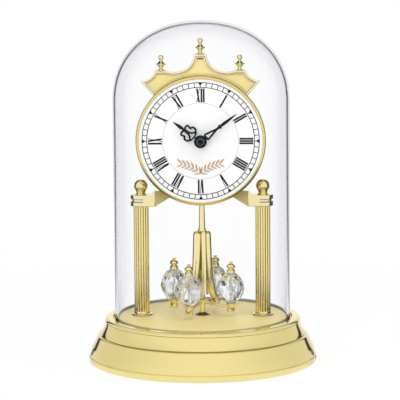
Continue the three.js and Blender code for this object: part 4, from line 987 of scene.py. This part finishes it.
laurel = dict(start=(0.3, -21.6), middle=(4.2, -17.2), end=(12.0, -15.2), leaves=6, stem=0.12, curl=0.4,
              front=-15.05, thick=0.05)
laurelRows = dict(
    upper=dict(look="dialCopper", slot="dial_copper", sink=0.0, leaf=4.9, width=0.56, lean=44, leanEnd=34),
    lower=dict(look="dialTan", slot="dial_tan", sink=0.008, leaf=4.1, width=0.66, lean=-38, leanEnd=-40))


# leaves along a bent stem on one of its sides, and the same sprig mirrored
def makeLaurelTree(values):
    tree, given, result = openShape("laurelSprigs", values)
    ends = {label: given[label] for label in ("Start", "Middle", "End")}
    stem = source(tree, "GeometryNodeCurveQuadraticBezier", {"Resolution": 24, **ends})
    blank = source(tree, "GeometryNodeMeshCylinder", {
        "Vertices": 18, "Radius": 1.0, "Depth": given["Thick"]})
    part = split(tree, source(tree, "GeometryNodeInputPosition"))
    share = calc(tree, "MULTIPLY", calc(tree, "ADD", part["X"], 1.0), 0.5)
    bow = calc(tree, "MULTIPLY", calc(tree, "MULTIPLY", share, share), given["Curl"])
    aside = calc(tree, "ADD", calc(tree, "MULTIPLY", part["Y"], given["Width"]), bow)
    outline = combine(tree, calc(tree, "MULTIPLY", share, given["Leaf"]), aside, part["Z"])
    leaf = source(tree, "GeometryNodeSetPosition", {"Geometry": blank, "Position": outline})
    spaced = source(tree, "GeometryNodeResampleCurve", {"Curve": stem, "Count": given["Leaves"]})
    way = split(tree, source(tree, "GeometryNodeInputTangent"))
    lean = between(tree, source(tree, "GeometryNodeSplineParameter"), given["Lean"], given["Lean End"])
    turn = calc(tree, "ADD", calc(tree, "ARCTAN2", way["Y"], way["X"]), lean)
    wire = source(tree, "GeometryNodeCurvePrimitiveCircle", {"Resolution": 6, "Radius": given["Stem"]})
    twig = scaled(tree, sweep(tree, stem, wire), (1, 1, 0.2))
    sprig = joined(tree, scatter(tree, spaced, leaf, turn), twig)
    closeShape(tree, result, joined(tree, sprig, scaled(tree, sprig, (-1, 1, 1))), given["Look"])
    return tree


def makeLaurel(start, middle, end, leaves, stem, curl, front, thick):
    tree = None
    for name, row in laurelRows.items():
        values = {
            "Leaves": leaves, "Look": looks[row["look"]], "Lean": math.radians(row["lean"]),
            "Lean End": math.radians(row["leanEnd"]), **metres({
                "Leaf": row["leaf"], "Width": row["width"], "Curl": -curl, "Stem": stem, "Thick": thick})}
        for label, (x, z) in (("Start", start), ("Middle", middle), ("End", end)):
            values[label] = (x * mm, z * mm, 0.0)
        tree = tree or makeLaurelTree(values)
        mesh = growMesh("laurel_" + name, tree, values)
        faceForward(mesh, front + row["sink"], thick - row["sink"])
        addPiece("laurel_" + name, mesh, row["look"], row["slot"])


makeDial(**dial)
makePrint(**track)
makeChapterRing(**chapter)
makeLaurel(**laurel)
print("dial done")


# Crest and its finials
crestOutline = dict(top=56.8, topHalf=4.1, valley=45.2, valleyHalf=16.6, shoulder=46, shoulderIn=21.8,
                    shoulderOut=29.6, tip=39.1, tipHalf=39, bearing=44, arcSteps=28)
crest = dict(panel=-12.3, back=-9, inner=41.9, arc=43.0, spread=0.5, edge=0.1, shadeHalf=2, shadeLow=53.4,
             shadeHigh=54.3, shadeDepth=0.3)
# (distance from the edge, depth) across the border, from its outer wall to the panel
moulding = [
    (0.0, -11.6), (0.0, -13.0), (0.12, -13.3), (0.4, -13.5), (0.7, -13.5), (1.15, -13.3), (1.2, -12.7),
    (1.5, -12.7), (1.6, -13.0), (1.9, -13.15), (2.25, -13.0), (2.6, -12.6), (2.65, -12.2), (2.65, -11.6)]
# painted shade on spans 6 and 12 of the profile, and a painted highlight on span 4
mouldingTones = dict(paintedShadeBrass=(6, 12), paintedHighlightBrass=(4,))  # spans of the profile with their own finish


def crestLine(radius, steps, top, topHalf, valley, valleyHalf, shoulder, shoulderIn, shoulderOut, tip,
              tipHalf, bearing, arcSteps):
    root = math.radians(bearing)
    wing, hollow = (tipHalf, tip), (valleyHalf, valley)
    outer, inner = (shoulderOut, shoulder), (shoulderIn, shoulder)
    right = [polar(radius, root), wing]
    right += bend(wing, (shoulderOut + 1.6, tip + 1.6), outer, steps)[1:] + [inner]
    right += bend(inner, (shoulderIn - 2, valley), hollow, steps)[1:]
    right += bend(hollow, (topHalf + 1.1, valley + 1.1), (topHalf, top), steps)[1:]
    angles = [math.pi - root - k / arcSteps * (math.pi - 2 * root) for k in range(1, arcSteps)]
    return right + flipped(right) + [polar(radius, angle) for angle in angles]


# a flat panel in a moulded border with a painted highlight line and painted shade in two grooves, and a
# painted dark strip below the middle finial
def makeCrest(panel, back, inner, arc, spread, edge, shadeHalf, shadeLow, shadeHigh, shadeDepth):
    plate = facingSlab([crestLine(inner, 10, **crestOutline)], back - panel, edge, panel)
    addPiece("crest_panel", plate, "panelBrass", "satin_brass")
    lines = []
    for distance, depth in moulding:
        line = insetLine(crestLine(arc + distance * spread - distance, 6, **crestOutline), distance)
        lines.append([(x, depth, dialHeight + z) for x, z in line])
    count = len(lines[0])
    mesh = shapeMesh("crest_frame", [(sum(lines, []), bandFaces(count, len(lines), wrap=True))])
    spans = [row for row in range(len(lines)) for k in range(count)]
    mesh.attributes.new("span", "INT", "FACE").data.foreach_set("value", spans)
    addPiece("crest_frame", mesh, "clearBrass", "polished_brass", "crest")
    for look, rows in mouldingTones.items():
        addTone(mesh, look, [span.value in rows for span in mesh.attributes["span"].data])
    # painted shade: a thin near-black strip on the panel below the middle finial
    slot = [(-shadeHalf, shadeLow), (shadeHalf, shadeLow), (shadeHalf, shadeHigh), (-shadeHalf, shadeHigh)]
    shadeStrip = flatPrism(slot, panel - shadeDepth, panel + shadeDepth)
    addPiece("crest_slot", [shadeStrip], "shadowBrass", "satin_brass")


finial = dict(depth=-11.1, sides=40, places=((-25.7, 194.2), (0, 205), (25.7, 194.2)))


def makeCrestFinials(depth, sides, places):
    profile = soften([
        (0, 0), (2.9, 0, 0.1), (2.85, 0.35, 0.2), (1.7, 0.9, 0.5), (1.0, 1.6, 0.4), (1.05, 2.1, 0.3),
        (1.6, 2.6, 0.3), (2.4, 3.3, 0.25), (2.35, 3.55, 0.1), (3.5, 4.15, 0.15), (3.45, 4.45, 0.15),
        (1.9, 5.6, 0.9), (0.9, 6.6, 0.4), (0.85, 7.0, 0.15), (1.25, 7.25, 0.2), (1.7, 8.1, 0.7),
        (1.65, 9.4, 0.8), (0.9, 10.25, 0.5), (0, 10.4)])
    shapes = [lathe(raised(profile, z), sides, x, depth) for x, z in places]
    addPiece("crest_finials", shapes, "clearBrass", "polished_brass", "crest_finial_left",
             "crest_finial_centre", "crest_finial_right")


makeCrest(**crest)
makeCrestFinials(**finial)
print("crest done")


# Hands, drawn upright and then turned to the time
hand = dict(thick=0.6, hub=4.2)
hourHand = dict(front=-18.6, turn=306, hole=1.95, half=0.6)
minuteHand = dict(front=-20.2, turn=52.5, hole=1.3, half=0.64)
handCap = dict(front=-20.2, radius=2.8, height=2.3, bore=1.3, boreDepth=1.5)


# a closed line of even width as a flat ring
def ringBand(line, half, front, back):
    outer, inner = insetLine(line, -half), insetLine(line, half)
    rings = ((outer, front), (inner, front), (inner, back), (outer, back))
    points = [(x, y, dialHeight + z) for edge, y in rings for x, z in edge]
    return points, bandFaces(len(line), len(rings), wrap=True)


# loops are (line, lift from the front), and plates are (outline, lift from the front, and from the back)
def makeHand(name, body, replaced, loops, plates, front, turn, hole, half):
    back, hub = front + hand["thick"], hand["hub"]
    ring = soften([
        (hole, back), (hub, back, 0.1), (hub, front + 0.2, 0.15), (hub - 0.4, front, 0.2), (hole, front),
        (hole, back)])
    shapes = [latheFacing(ring, 56)]
    shapes += [ringBand(line, half, front + lift, back) for line, lift in loops]
    shapes += [flatPrism(line, front + lift, back - fall) for line, lift, fall in plates]
    mesh = shapeMesh(name, shapes)
    about = Matrix.Translation((0, 0, dialHeight * mm))
    mesh.transform(about @ Matrix.Rotation(math.radians(turn), 4, "Y") @ about.inverted())
    addPiece(name, mesh, "handBlack", "hand_black", replaced, body=body)


def makeHourHand():
    loop = through([
        (0.4, 12.6), (1.8, 13.5), (3.6, 13.1), (3.55, 11.6), (3.3, 10.4), (4.5, 9.7), (4.9, 8.6), (4.5, 7.1),
        (3.2, 6.4), (1.5, 7.6), (0.55, 9.4), (0.42, 11.2)])
    blade = mirrored([
        (0.55, 12.2), (0.62, 13.6), (1.05, 15.6), (1.1, 16.6), (0.75, 19.0), (0.32, 21.2), (0.0, 22.4)])
    cross = mirrored([
        (0.45, 3.9), (0.55, 4.7), (2.4, 4.9), (3.5, 5.3), (3.7, 5.9), (3.1, 6.3), (2.2, 5.9), (0.0, 5.6)])
    makeHand("hour_pointer", "hour", "hour_hand", [(loop, 0.02), (flipped(loop), 0.03)],
             [(blade, 0.01, 0.01), (cross, 0.04, 0.02)], **hourHand)


def makeMinuteHand():
    side = [(0.75, 10.6), (1.4, 7.6), (1.85, 5.5), (1.5, 4.9)]
    loop = through([(0.0, 13.4)] + side + [(0.0, 4.8)] + flipped(side))
    blade = mirrored([
        (0.6, 12.6), (0.85, 14.2), (0.8, 15.3), (1.45, 15.6), (1.5, 16.5), (0.8, 16.9), (0.95, 18.2),
        (1.05, 20.4), (0.85, 23.5), (0.45, 27.6), (0.0, 30.5)])
    makeHand("minute_pointer", "minute", "minute_hand", [(loop, 0.02)], [(blade, 0.01, 0.01)], **minuteHand)


def makeHandCap(front, radius, height, bore, boreDepth):
    top = front - height
    profile = soften([
        (0, top), (radius * 0.62, top, 0.8), (radius, front - height * 0.45, 0.8), (radius, front, 0.1),
        (bore, front), (bore, front - boreDepth), (0, front - boreDepth)])

    # painted highlight: the cap's rounded shoulder is coloured as a grey sheen
    def isShoulder(x, y, z):
        return radius * 0.6 < math.hypot(x, z - dialHeight) < radius * 0.97

    addPiece("hub_cap", [latheFacing(profile, 48)], "handBlack", "hand_black", "hand_cap", body="minute",
             tones=[("paintedSheenGrey", isShoulder)])


makeHourHand()
makeMinuteHand()
makeHandCap(**handCap)
print("hands done")


# Pendulum
arm = dict(low=37.9, tip=27.2, width=1.8, depth=1.5, rise=3.2, curl=3.0, root=1.0, sag=9.5, sides=16,
           square=0.6, taper=0.75)
spider = dict(cupTop=39.3, spindle=1.9, spindleLow=30.9, spindleTop=60, stub=2.6, stubLow=33.4, cup=3.5,
              pin=0.4, pinTop=62.6)


# an arm as rings of a rounded bar along its bend
def armShape(low, tip, width, depth, rise, curl, root, sag, sides, square, taper):
    floor, end = low - depth, low + curl
    top = bend((root, low + rise), (sag, low), (crystalReach, low), 14)
    top += bend((crystalReach, low), (tip - 1.8, low), (tip, end), 8)[1:]
    under = bend((root, low), (sag, floor), (crystalReach, floor), 14)
    under += bend((crystalReach, floor), (tip - 1.2, floor), (tip, end - 0.25), 8)[1:]
    section = [[math.copysign(abs(part) ** square, part) for part in corner]
               for corner in circleLine(1, sides)]
    rings = []
    for (x, high), (lowX, deep) in zip(top, under):
        past = max(0.0, (x - crystalReach) / (tip - crystalReach))
        wide = width / 2 * (1 - taper * past ** 2)
        middle, tall = (high + deep) / 2, max(0.1, (high - deep) / 2)
        rings.append([((x + lowX) / 2, wide * across, middle + tall * up) for across, up in section])
    return loft(rings)


def makeSpider(cupTop, spindle, spindleLow, spindleTop, stub, stubLow, cup, pin, pinTop):
    shaft = soften([(0, spindleLow), (spindle - 0.4, spindleLow, 0.3), (spindle, spindleLow + 0.7, 0.3),
                    (spindle, spindleTop, 0.2), (0, spindleTop)])
    holder = soften([(0, stubLow), (stub - 0.5, stubLow, 0.3), (stub, stubLow + 0.5, 0.3),
                     (stub - 0.25, arm["low"] - 0.6, 0.6), (cup, cupTop, 0.25), (0, cupTop)])
    pinLow = cupTop - 0.5
    wire = lathe([(0, pinLow), (pin, pinLow), (pin, pinTop), (0, pinTop)], 20, x=crystalReach)
    limbs = (armShape(**arm), lathe(holder, 36, x=crystalReach))
    angles = [k * fullTurn / 4 + pendulumTurn for k in range(4)]
    shapes = [lathe(shaft, 40)] + [turnedAbout(limb, angle) for angle in angles for limb in limbs]
    pins = [turnedAbout(wire, angle) for angle in angles]
    addPiece("crystal_pins", pins, "steel", "steel", body="pendulum")
    addPiece("spider", shapes, "clearBrass", "polished_brass", "pendulum_spider", body="pendulum")


tower = dict(high=86.7, top=3.2, swell=1.3, span=9, rings=40, sides=28, rounding=1.6, gather=1.3, dip=0.6)
wideLobe = dict(low=38, lobe=2.9, footLobe=2.2, flare=6.0)
narrowLobe = dict(low=44.5, lobe=1.75, footLobe=1.9, flare=0.6)


# rings gather towards the foot, and the top is rounded by its dip
def lobeShape(bearing, low, lobe, footLobe, flare, high, top, swell, span, rings, sides, rounding, gather,
              dip):
    levels = []
    for level in range(rings + 1):
        share = (level / rings) ** gather
        height = low + share * (high - low)
        fade = math.exp(-(height - low) / span)
        x, y = polar(top + swell * (1 - share) + flare * fade, bearing)
        short = max(0.0, 1 - (high - height) / rounding)
        radius = (lobe + (footLobe - lobe) * fade) * math.sqrt(max(0.0, 1 - dip * short * short))
        levels.append([(*corner, height) for corner in circleLine(radius, sides, x, y)])
    return loft(levels)


# broad lobes to the sides, slim ones before and behind
def makeTower(**sizes):
    shapes = []
    for k, lobe in enumerate((wideLobe, narrowLobe, wideLobe, narrowLobe)):
        shapes.append(lobeShape((k + 0.5) * fullTurn / 4 + pendulumTurn, **lobe, **sizes))
    addPiece("lobed_tower", shapes, "clearBrass", "polished_brass", "pendulum_tower", body="pendulum")


rod = dict(low=55.3, core=1.3, collarLow=86.7, collar=2.9, collarTop=88.5, foot=2.1, top=105.8, radius=1.7)


def makeRod(low, core, collarLow, collar, collarTop, foot, top, radius):
    profile = soften([
        (0, low), (core, low, 0.2), (core, collarLow, 0.1), (collar, collarLow, 0.2),
        (collar, collarLow + 0.5, 0.3), (foot + 0.1, collarTop, 0.6), (radius, top, 0.1), (0, top)])
    addPiece("pendulum_stem", [lathe(profile, 40)], "clearBrass", "polished_brass", "pendulum_rod",
             body="pendulum")


crystal = dict(low=39.6, high=59.6, radius=9.4, sides=16, bore=0.55, seed=4, dim=0.6, uneven=0.1)
crystalLevels = [(0.38, 0), (0.66, 0.11), (0.88, 0.27), (1.0, 0.47), (0.97, 0.62), (0.84, 0.78), (0.6, 0.92),
                 (0.36, 1.0)]
# share of facets painted dark in each row, and of those painted grey, as painted reflections; the last three
# rows are the ends and the bore
facetShares = [(0.0, 0.4), (0.05, 0.35), (0.03, 0.3), (0.04, 0.3), (0.08, 0.25), (0.16, 0.25), (0.05, 0.2)]
facetShares += [(0.0, 0.0)] * 3
crystalNames = ["right", "back", "left", "front"]


# facets in rows, each row turned half a step, round a bore for the pin
def makeCrystals(low, high, radius, sides, bore, seed, dim, uneven):
    def ringAt(across, row, z):
        return [(*polar(across, (k + row / 2) * fullTurn / sides), z) for k in range(sides)]

    rows = len(crystalLevels)
    rings = [ringAt(share * radius, row, low + rise * (high - low))
             for row, (share, rise) in enumerate(crystalLevels)]
    rings += [ringAt(bore, rows - 1, high), ringAt(bore, 0, low)]
    points = [point for ring in rings for point in ring]
    facets = []
    for a, b, c, d in bandFaces(sides, len(rings), wrap=True):
        facets += [[a, b, d], [b, c, d]]
    for index, label in enumerate(crystalNames):
        draw = random.Random(seed + index)
        # painted reflections: each facet is drawn clear, grey or dark
        shades = []
        for facet in facets:
            dark, grey = facetShares[facet[0] // sides]
            chance = draw.random()
            shades.append(1.0 if chance < dark else dim * draw.random() if chance < dark + grey else 0.0)
        # corners of the facets lie a little deeper here and there, as in hand-cut glass
        across, along = polar(crystalReach, index * fullTurn / 4)
        cut = []
        for place, (x, y, z) in enumerate(points):
            keep = 1 - uneven * draw.random() if place < sides * rows else 1.0
            cut.append((x * keep + across, y * keep + along, z))
        mesh = shapeMesh("cut_crystal", [turnedAbout((cut, facets), pendulumTurn)])
        mesh.attributes.new("facet", "FLOAT", "FACE").data.foreach_set("value", shades)
        addPiece("cut_crystal_" + label, mesh, "crystalGlass", "crystal_glass", "crystal_" + label,
                 body="pendulum", sharp=1)


crystalCap = dict(low=59.9, height=7.5, radius=2.85, sides=40)
# shares of the cap's radius and height, and the rounding of each corner
capShares = [(0, 0), (1.0, 0, 0.1), (1.0, 0.06, 0.15), (0.93, 0.16, 0.3), (0.97, 0.25, 0.2),
             (0.88, 0.29, 0.15), (0.62, 0.33, 0.2), (0.62, 0.37, 0.2), (0.99, 0.44, 0.7),
             (0.99, 0.66, 0.9), (0.5, 0.79, 0.5), (0.26, 0.81, 0.2), (0.42, 0.86, 0.3), (0.42, 0.94, 0.3),
             (0.18, 0.99, 0.2), (0, 1.0)]


def makeCrystalCaps(low, height, radius, sides):
    profile = soften([(share * radius, low + rise * height, *size) for share, rise, *size in capShares])
    shape = lathe(profile, sides, x=crystalReach)
    for index, label in enumerate(crystalNames):
        turned = turnedAbout(shape, index * fullTurn / 4 + pendulumTurn)
        addPiece("bulb_cap_" + label, [turned], "clearBrass", "polished_brass", "crystal_cap_" + label,
                 body="pendulum")


makeSpider(**spider)
makeTower(**tower)
makeRod(**rod)
makeCrystals(**crystal)
makeCrystalCaps(**crystalCap)
print("pendulum done")


# Glass dome
dome = dict(radius=58.7, wall=2.2, low=26.5, top=226.9, cap=53, square=2.15, steps=40, sides=192, foot=8,
            bands=6, bandStep=20, edge=0.8)


def makeDome(radius, wall, low, top, cap, square, steps, sides, foot, bands, bandStep, edge):
    def crown(reach, height):
        shares = [polar(1, k / steps * math.pi / 2) for k in range(steps)]
        line = [(reach * across ** (2 / square), height * up ** (2 / square)) for across, up in shares]
        return raised(line + [(0.0, height)], top - cap)

    inner, footTop = radius - wall, low + foot
    hem = soften([(inner, footTop), (inner, low, edge), (radius, low, edge), (radius, footTop)])
    heights = [footTop + k * bandStep for k in range(1, bands + 1)]
    inside = crown(inner, cap - wall)[::-1] + [(inner, z) for z in reversed(heights)]
    outside = [(radius, z) for z in heights] + crown(radius, cap)
    addPiece("clear_dome", [lathe(inside + hem + outside, sides)], "domeGlass", "dome_glass", "glass_dome",
             body="dome", sharp=60)


makeDome(**dome)
print("dome done")


# Finishes of the pieces that keep their solid shape
kept = {
    "trainBrass": ["minute_wheel", "hour_wheel", "centre_wheel", "pendulum_swivel"],
    "steel": ["bottom_plate", "tie_rod_left", "tie_rod_right", "tie_nut_left", "tie_nut_right", "dial_nut",
              "battery_contact_plus", "battery_contact_minus", "minute_arbor", "stator"],
    "magnet": ["rotor", "drive_magnet"],
    "copperWire": ["motor_coil", "drive_coil"],
    "blackPlastic": ["movement_housing", "movement_cover", "train_bridge"],
    "whitePlastic": ["setting_knob", "third_wheel", "seconds_wheel", "intermediate_wheel"],
    "boardGreen": ["circuit_board"],
}
for look, names in kept.items():
    for name in names:
        nodes[name].data.materials.clear()
        nodes[name].data.materials.append(looks[look])
print("kept pieces dressed")


# Floor, light and camera, in metres
floor = dict(half=4.0, colour=(0.92, 0.92, 0.92), glow=0.84, near=0.1, far=0.5, under=0.25, underNear=0.14,
             underFar=0.36)
fill = 0.65  # the world's strength for what it lights
lamps = dict(front=dict(place=(-0.3, -1.6, 0.75), target=(0, 0, 0.12), size=1.2, power=8.6),
             above=dict(place=(0.3, -0.4, 1.7), target=(0, 0, 0.05), size=1.2, power=13.0))
# dark cards round the set, in degrees from straight ahead: for the base, the thickness of the dome's wall,
# what stands inside, and the floor close to that
cards = dict(base=dict(left=144, right=144, end=152.5, dark=0.03, sides=0.82),
             wall=dict(left=153, right=153, end=164, dark=0.1, sides=1.0),
             inside=dict(left=88, right=78, end=150, dark=0.08, sides=1.0),
             low=dict(left=56, right=40, end=152, dark=0.04, sides=1.0))
baseCard = dict(aside=0.064, ahead=0.018)  # where the base's cards stand on the floor
cardEdge = 2.5  # degrees over which a card's edge fades
# marks between whole counts of the surfaces that a ray has met
rayMarks = dict(glass=0.5, wall=2.5, floor=0.5, world=1.5)


# the dark of the cards, and the gentle fall of light towards the sides
def makeFlagGroup(soft, sideStart=20, sideFull=115, backFull=150, backEnd=178):
    group, given, result = openTree(
        "flagShade", "ShaderNodeTree",
        {"Place": (0, 0, 0), "Left": 140.0, "Right": 140.0, "End": 160.0, "Dark": 0.0, "Sides": 1.0,
         "Aside": 0.0, "Ahead": 0.0}, {"Shade": "Float", "Gradient": "Float"})

    def fade(value, low, high):
        return ramp(group, value, low, high, kind="SMOOTHSTEP")

    part = split(group, given["Place"])
    outward = calc(group, "SUBTRACT", calc(group, "ABSOLUTE", part["X"]), given["Aside"])
    forward = calc(group, "SUBTRACT", calc(group, "MULTIPLY", part["Y"], -1.0), given["Ahead"])
    bearing = calc(group, "MULTIPLY", calc(group, "ARCTAN2", outward, forward), 360 / fullTurn)
    begin = between(group, calc(group, "GREATER_THAN", part["X"], 0.0), given["Left"], given["Right"])
    past = fade(calc(group, "SUBTRACT", bearing, begin), -soft, soft)
    before = fade(calc(group, "SUBTRACT", given["End"], bearing), -soft, soft)
    turned = calc(group, "MULTIPLY", fade(bearing, sideStart, sideFull), fade(bearing, backEnd, backFull))
    feed(group, result, {
        "Shade": between(group, calc(group, "MULTIPLY", past, before), 1.0, given["Dark"]),
        "Gradient": between(group, turned, 1.0, given["Sides"])})
    return group


flagShade = makeFlagGroup(cardEdge)


def cardShade(tree, place, card, aside=0.0, ahead=0.0):
    values = {label.capitalize(): value for label, value in card.items()}
    values.update({"Place": place, "Aside": aside, "Ahead": ahead})
    return addNode(tree, "ShaderNodeGroup", values, node_tree=flagShade).outputs


# what a mirrored ray meets: one that has been reflected, not only passed through glass; the glass it has
# passed tells whether it comes from the base, the wall of the dome or a piece inside
def mirroredShade(tree, place, path, base, inside, least):
    passed = path["Transmission Depth"]
    part = split(tree, place)
    about = combine(tree, diagonal(tree, part["X"], part["Z"]), part["Y"])
    outside = calc(tree, "MULTIPLY", base["Shade"], base["Gradient"])
    wall = cardShade(tree, about, cards["wall"])["Shade"]
    shade = between(tree, calc(tree, "GREATER_THAN", passed, rayMarks["glass"]), outside, wall)
    inner = calc(tree, "MULTIPLY", cardShade(tree, place, cards["inside"])["Shade"], inside)
    shade = between(tree, calc(tree, "GREATER_THAN", passed, rayMarks["wall"]), shade, inner)
    mirror = calc(tree, "GREATER_THAN", calc(tree, "SUBTRACT", path["Ray Depth"], passed), least)
    return between(tree, mirror, 1.0, shade)


def makeFloor(half, colour, glow, near, far, under, underNear, underFar):
    material, tree, shader = openMaterial("paleFloor")
    feed(tree, shader.inputs, {"Base Color": (*colour, 1), "Roughness": 0.9})
    path = addNode(tree, "ShaderNodeLightPath").outputs
    place = objectPoint(tree)
    reach = addNode(tree, "ShaderNodeVectorMath", {0: place}, operation="LENGTH").outputs["Value"]
    away = ramp(tree, reach, underNear, underFar)
    low = between(tree, away, cardShade(tree, place, cards["low"])["Shade"], 1.0)
    inside = calc(tree, "MULTIPLY", low, ramp(tree, reach, underNear, underFar, under, 1.0))
    base = cardShade(tree, place, cards["base"], **baseCard)
    strength = mirroredShade(tree, place, path, base, inside, rayMarks["floor"])
    white = source(tree, "ShaderNodeEmission", {"Strength": strength})
    mirrorRay = calc(tree, "MAXIMUM", path["Is Glossy Ray"], path["Is Transmission Ray"])
    seen = calc(tree, "MAXIMUM", path["Is Camera Ray"], mirrorRay)
    # the lit floor shows through near the object, where its shadow lies
    mask = calc(tree, "MULTIPLY", seen, ramp(tree, reach, near, far, glow, 1.0))
    surface = source(tree, "ShaderNodeMixShader", {"Fac": mask, 1: shader.outputs["BSDF"], 2: white})
    feed(tree, tree.nodes["Material Output"].inputs, {"Surface": surface})
    mesh = bpy.data.meshes.new("floor")
    corners = [(-half, -half, 0), (half, -half, 0), (half, half, 0), (-half, half, 0)]
    mesh.from_pydata(corners, [], [[0, 1, 2, 3]])
    mesh.materials.append(material)
    plane = bpy.data.objects.new("floor", mesh)
    scene.collection.objects.link(plane)


# white all round to the eye, a plain level for what it lights
def makeWorld(level):
    world = bpy.data.worlds.new("studio")
    scene.world = world
    world.use_nodes = True
    world.cycles.sampling_method = "NONE"
    tree = world.node_tree
    tree.nodes.clear()
    path = addNode(tree, "ShaderNodeLightPath").outputs
    place = addNode(tree, "ShaderNodeTexCoord").outputs["Generated"]
    base = cardShade(tree, place, cards["base"])
    shown = mirroredShade(tree, place, path, base, 1.0, rayMarks["world"])
    ends = {"Factor": path["Is Diffuse Ray"], "A": shown, "B": level}
    strength = addNode(tree, "ShaderNodeMix", ends, data_type="FLOAT").outputs["Result"]
    ground = source(tree, "ShaderNodeBackground", {"Color": (1, 1, 1, 1), "Strength": strength})
    addNode(tree, "ShaderNodeOutputWorld", {"Surface": ground})


def makeLamp(name, place, target, size, power):
    data = bpy.data.lights.new(name, "AREA")
    data.shape = "DISK"
    data.size = size
    data.energy = power
    lamp = bpy.data.objects.new(name, data)
    scene.collection.objects.link(lamp)
    lamp.location = place
    lamp.rotation_euler = (Vector(target) - Vector(place)).to_track_quat("-Z", "Y").to_euler()
    for ray in ("camera", "glossy", "transmission"):
        setattr(lamp, "visible_" + ray, False)


view = dict(distance=1.2, height=0.259, pitch=7.2, azimuth=2.0, roll=0.4, lens=163.3, shift=-0.0045)


def makeCamera(distance, height, pitch, azimuth, roll, lens, shift):
    data = bpy.data.cameras.new("camera")
    data.sensor_width = 36
    data.lens = lens
    data.shift_x = shift
    camera = bpy.data.objects.new("camera", data)
    scene.collection.objects.link(camera)
    around = math.radians(azimuth)
    place = Matrix.Translation((distance * math.sin(around), -distance * math.cos(around), height))
    aim = Matrix.Rotation(around, 4, "Z") @ Matrix.Rotation(math.radians(90 - pitch), 4, "X")
    camera.matrix_world = place @ aim @ Matrix.Rotation(math.radians(-roll), 4, "Z")
    scene.camera = camera


makeFloor(**floor)
makeWorld(fill)
for name, values in lamps.items():
    makeLamp(name, **values)
makeCamera(**view)
scene.view_settings.view_transform = "Standard"

print("scene done")
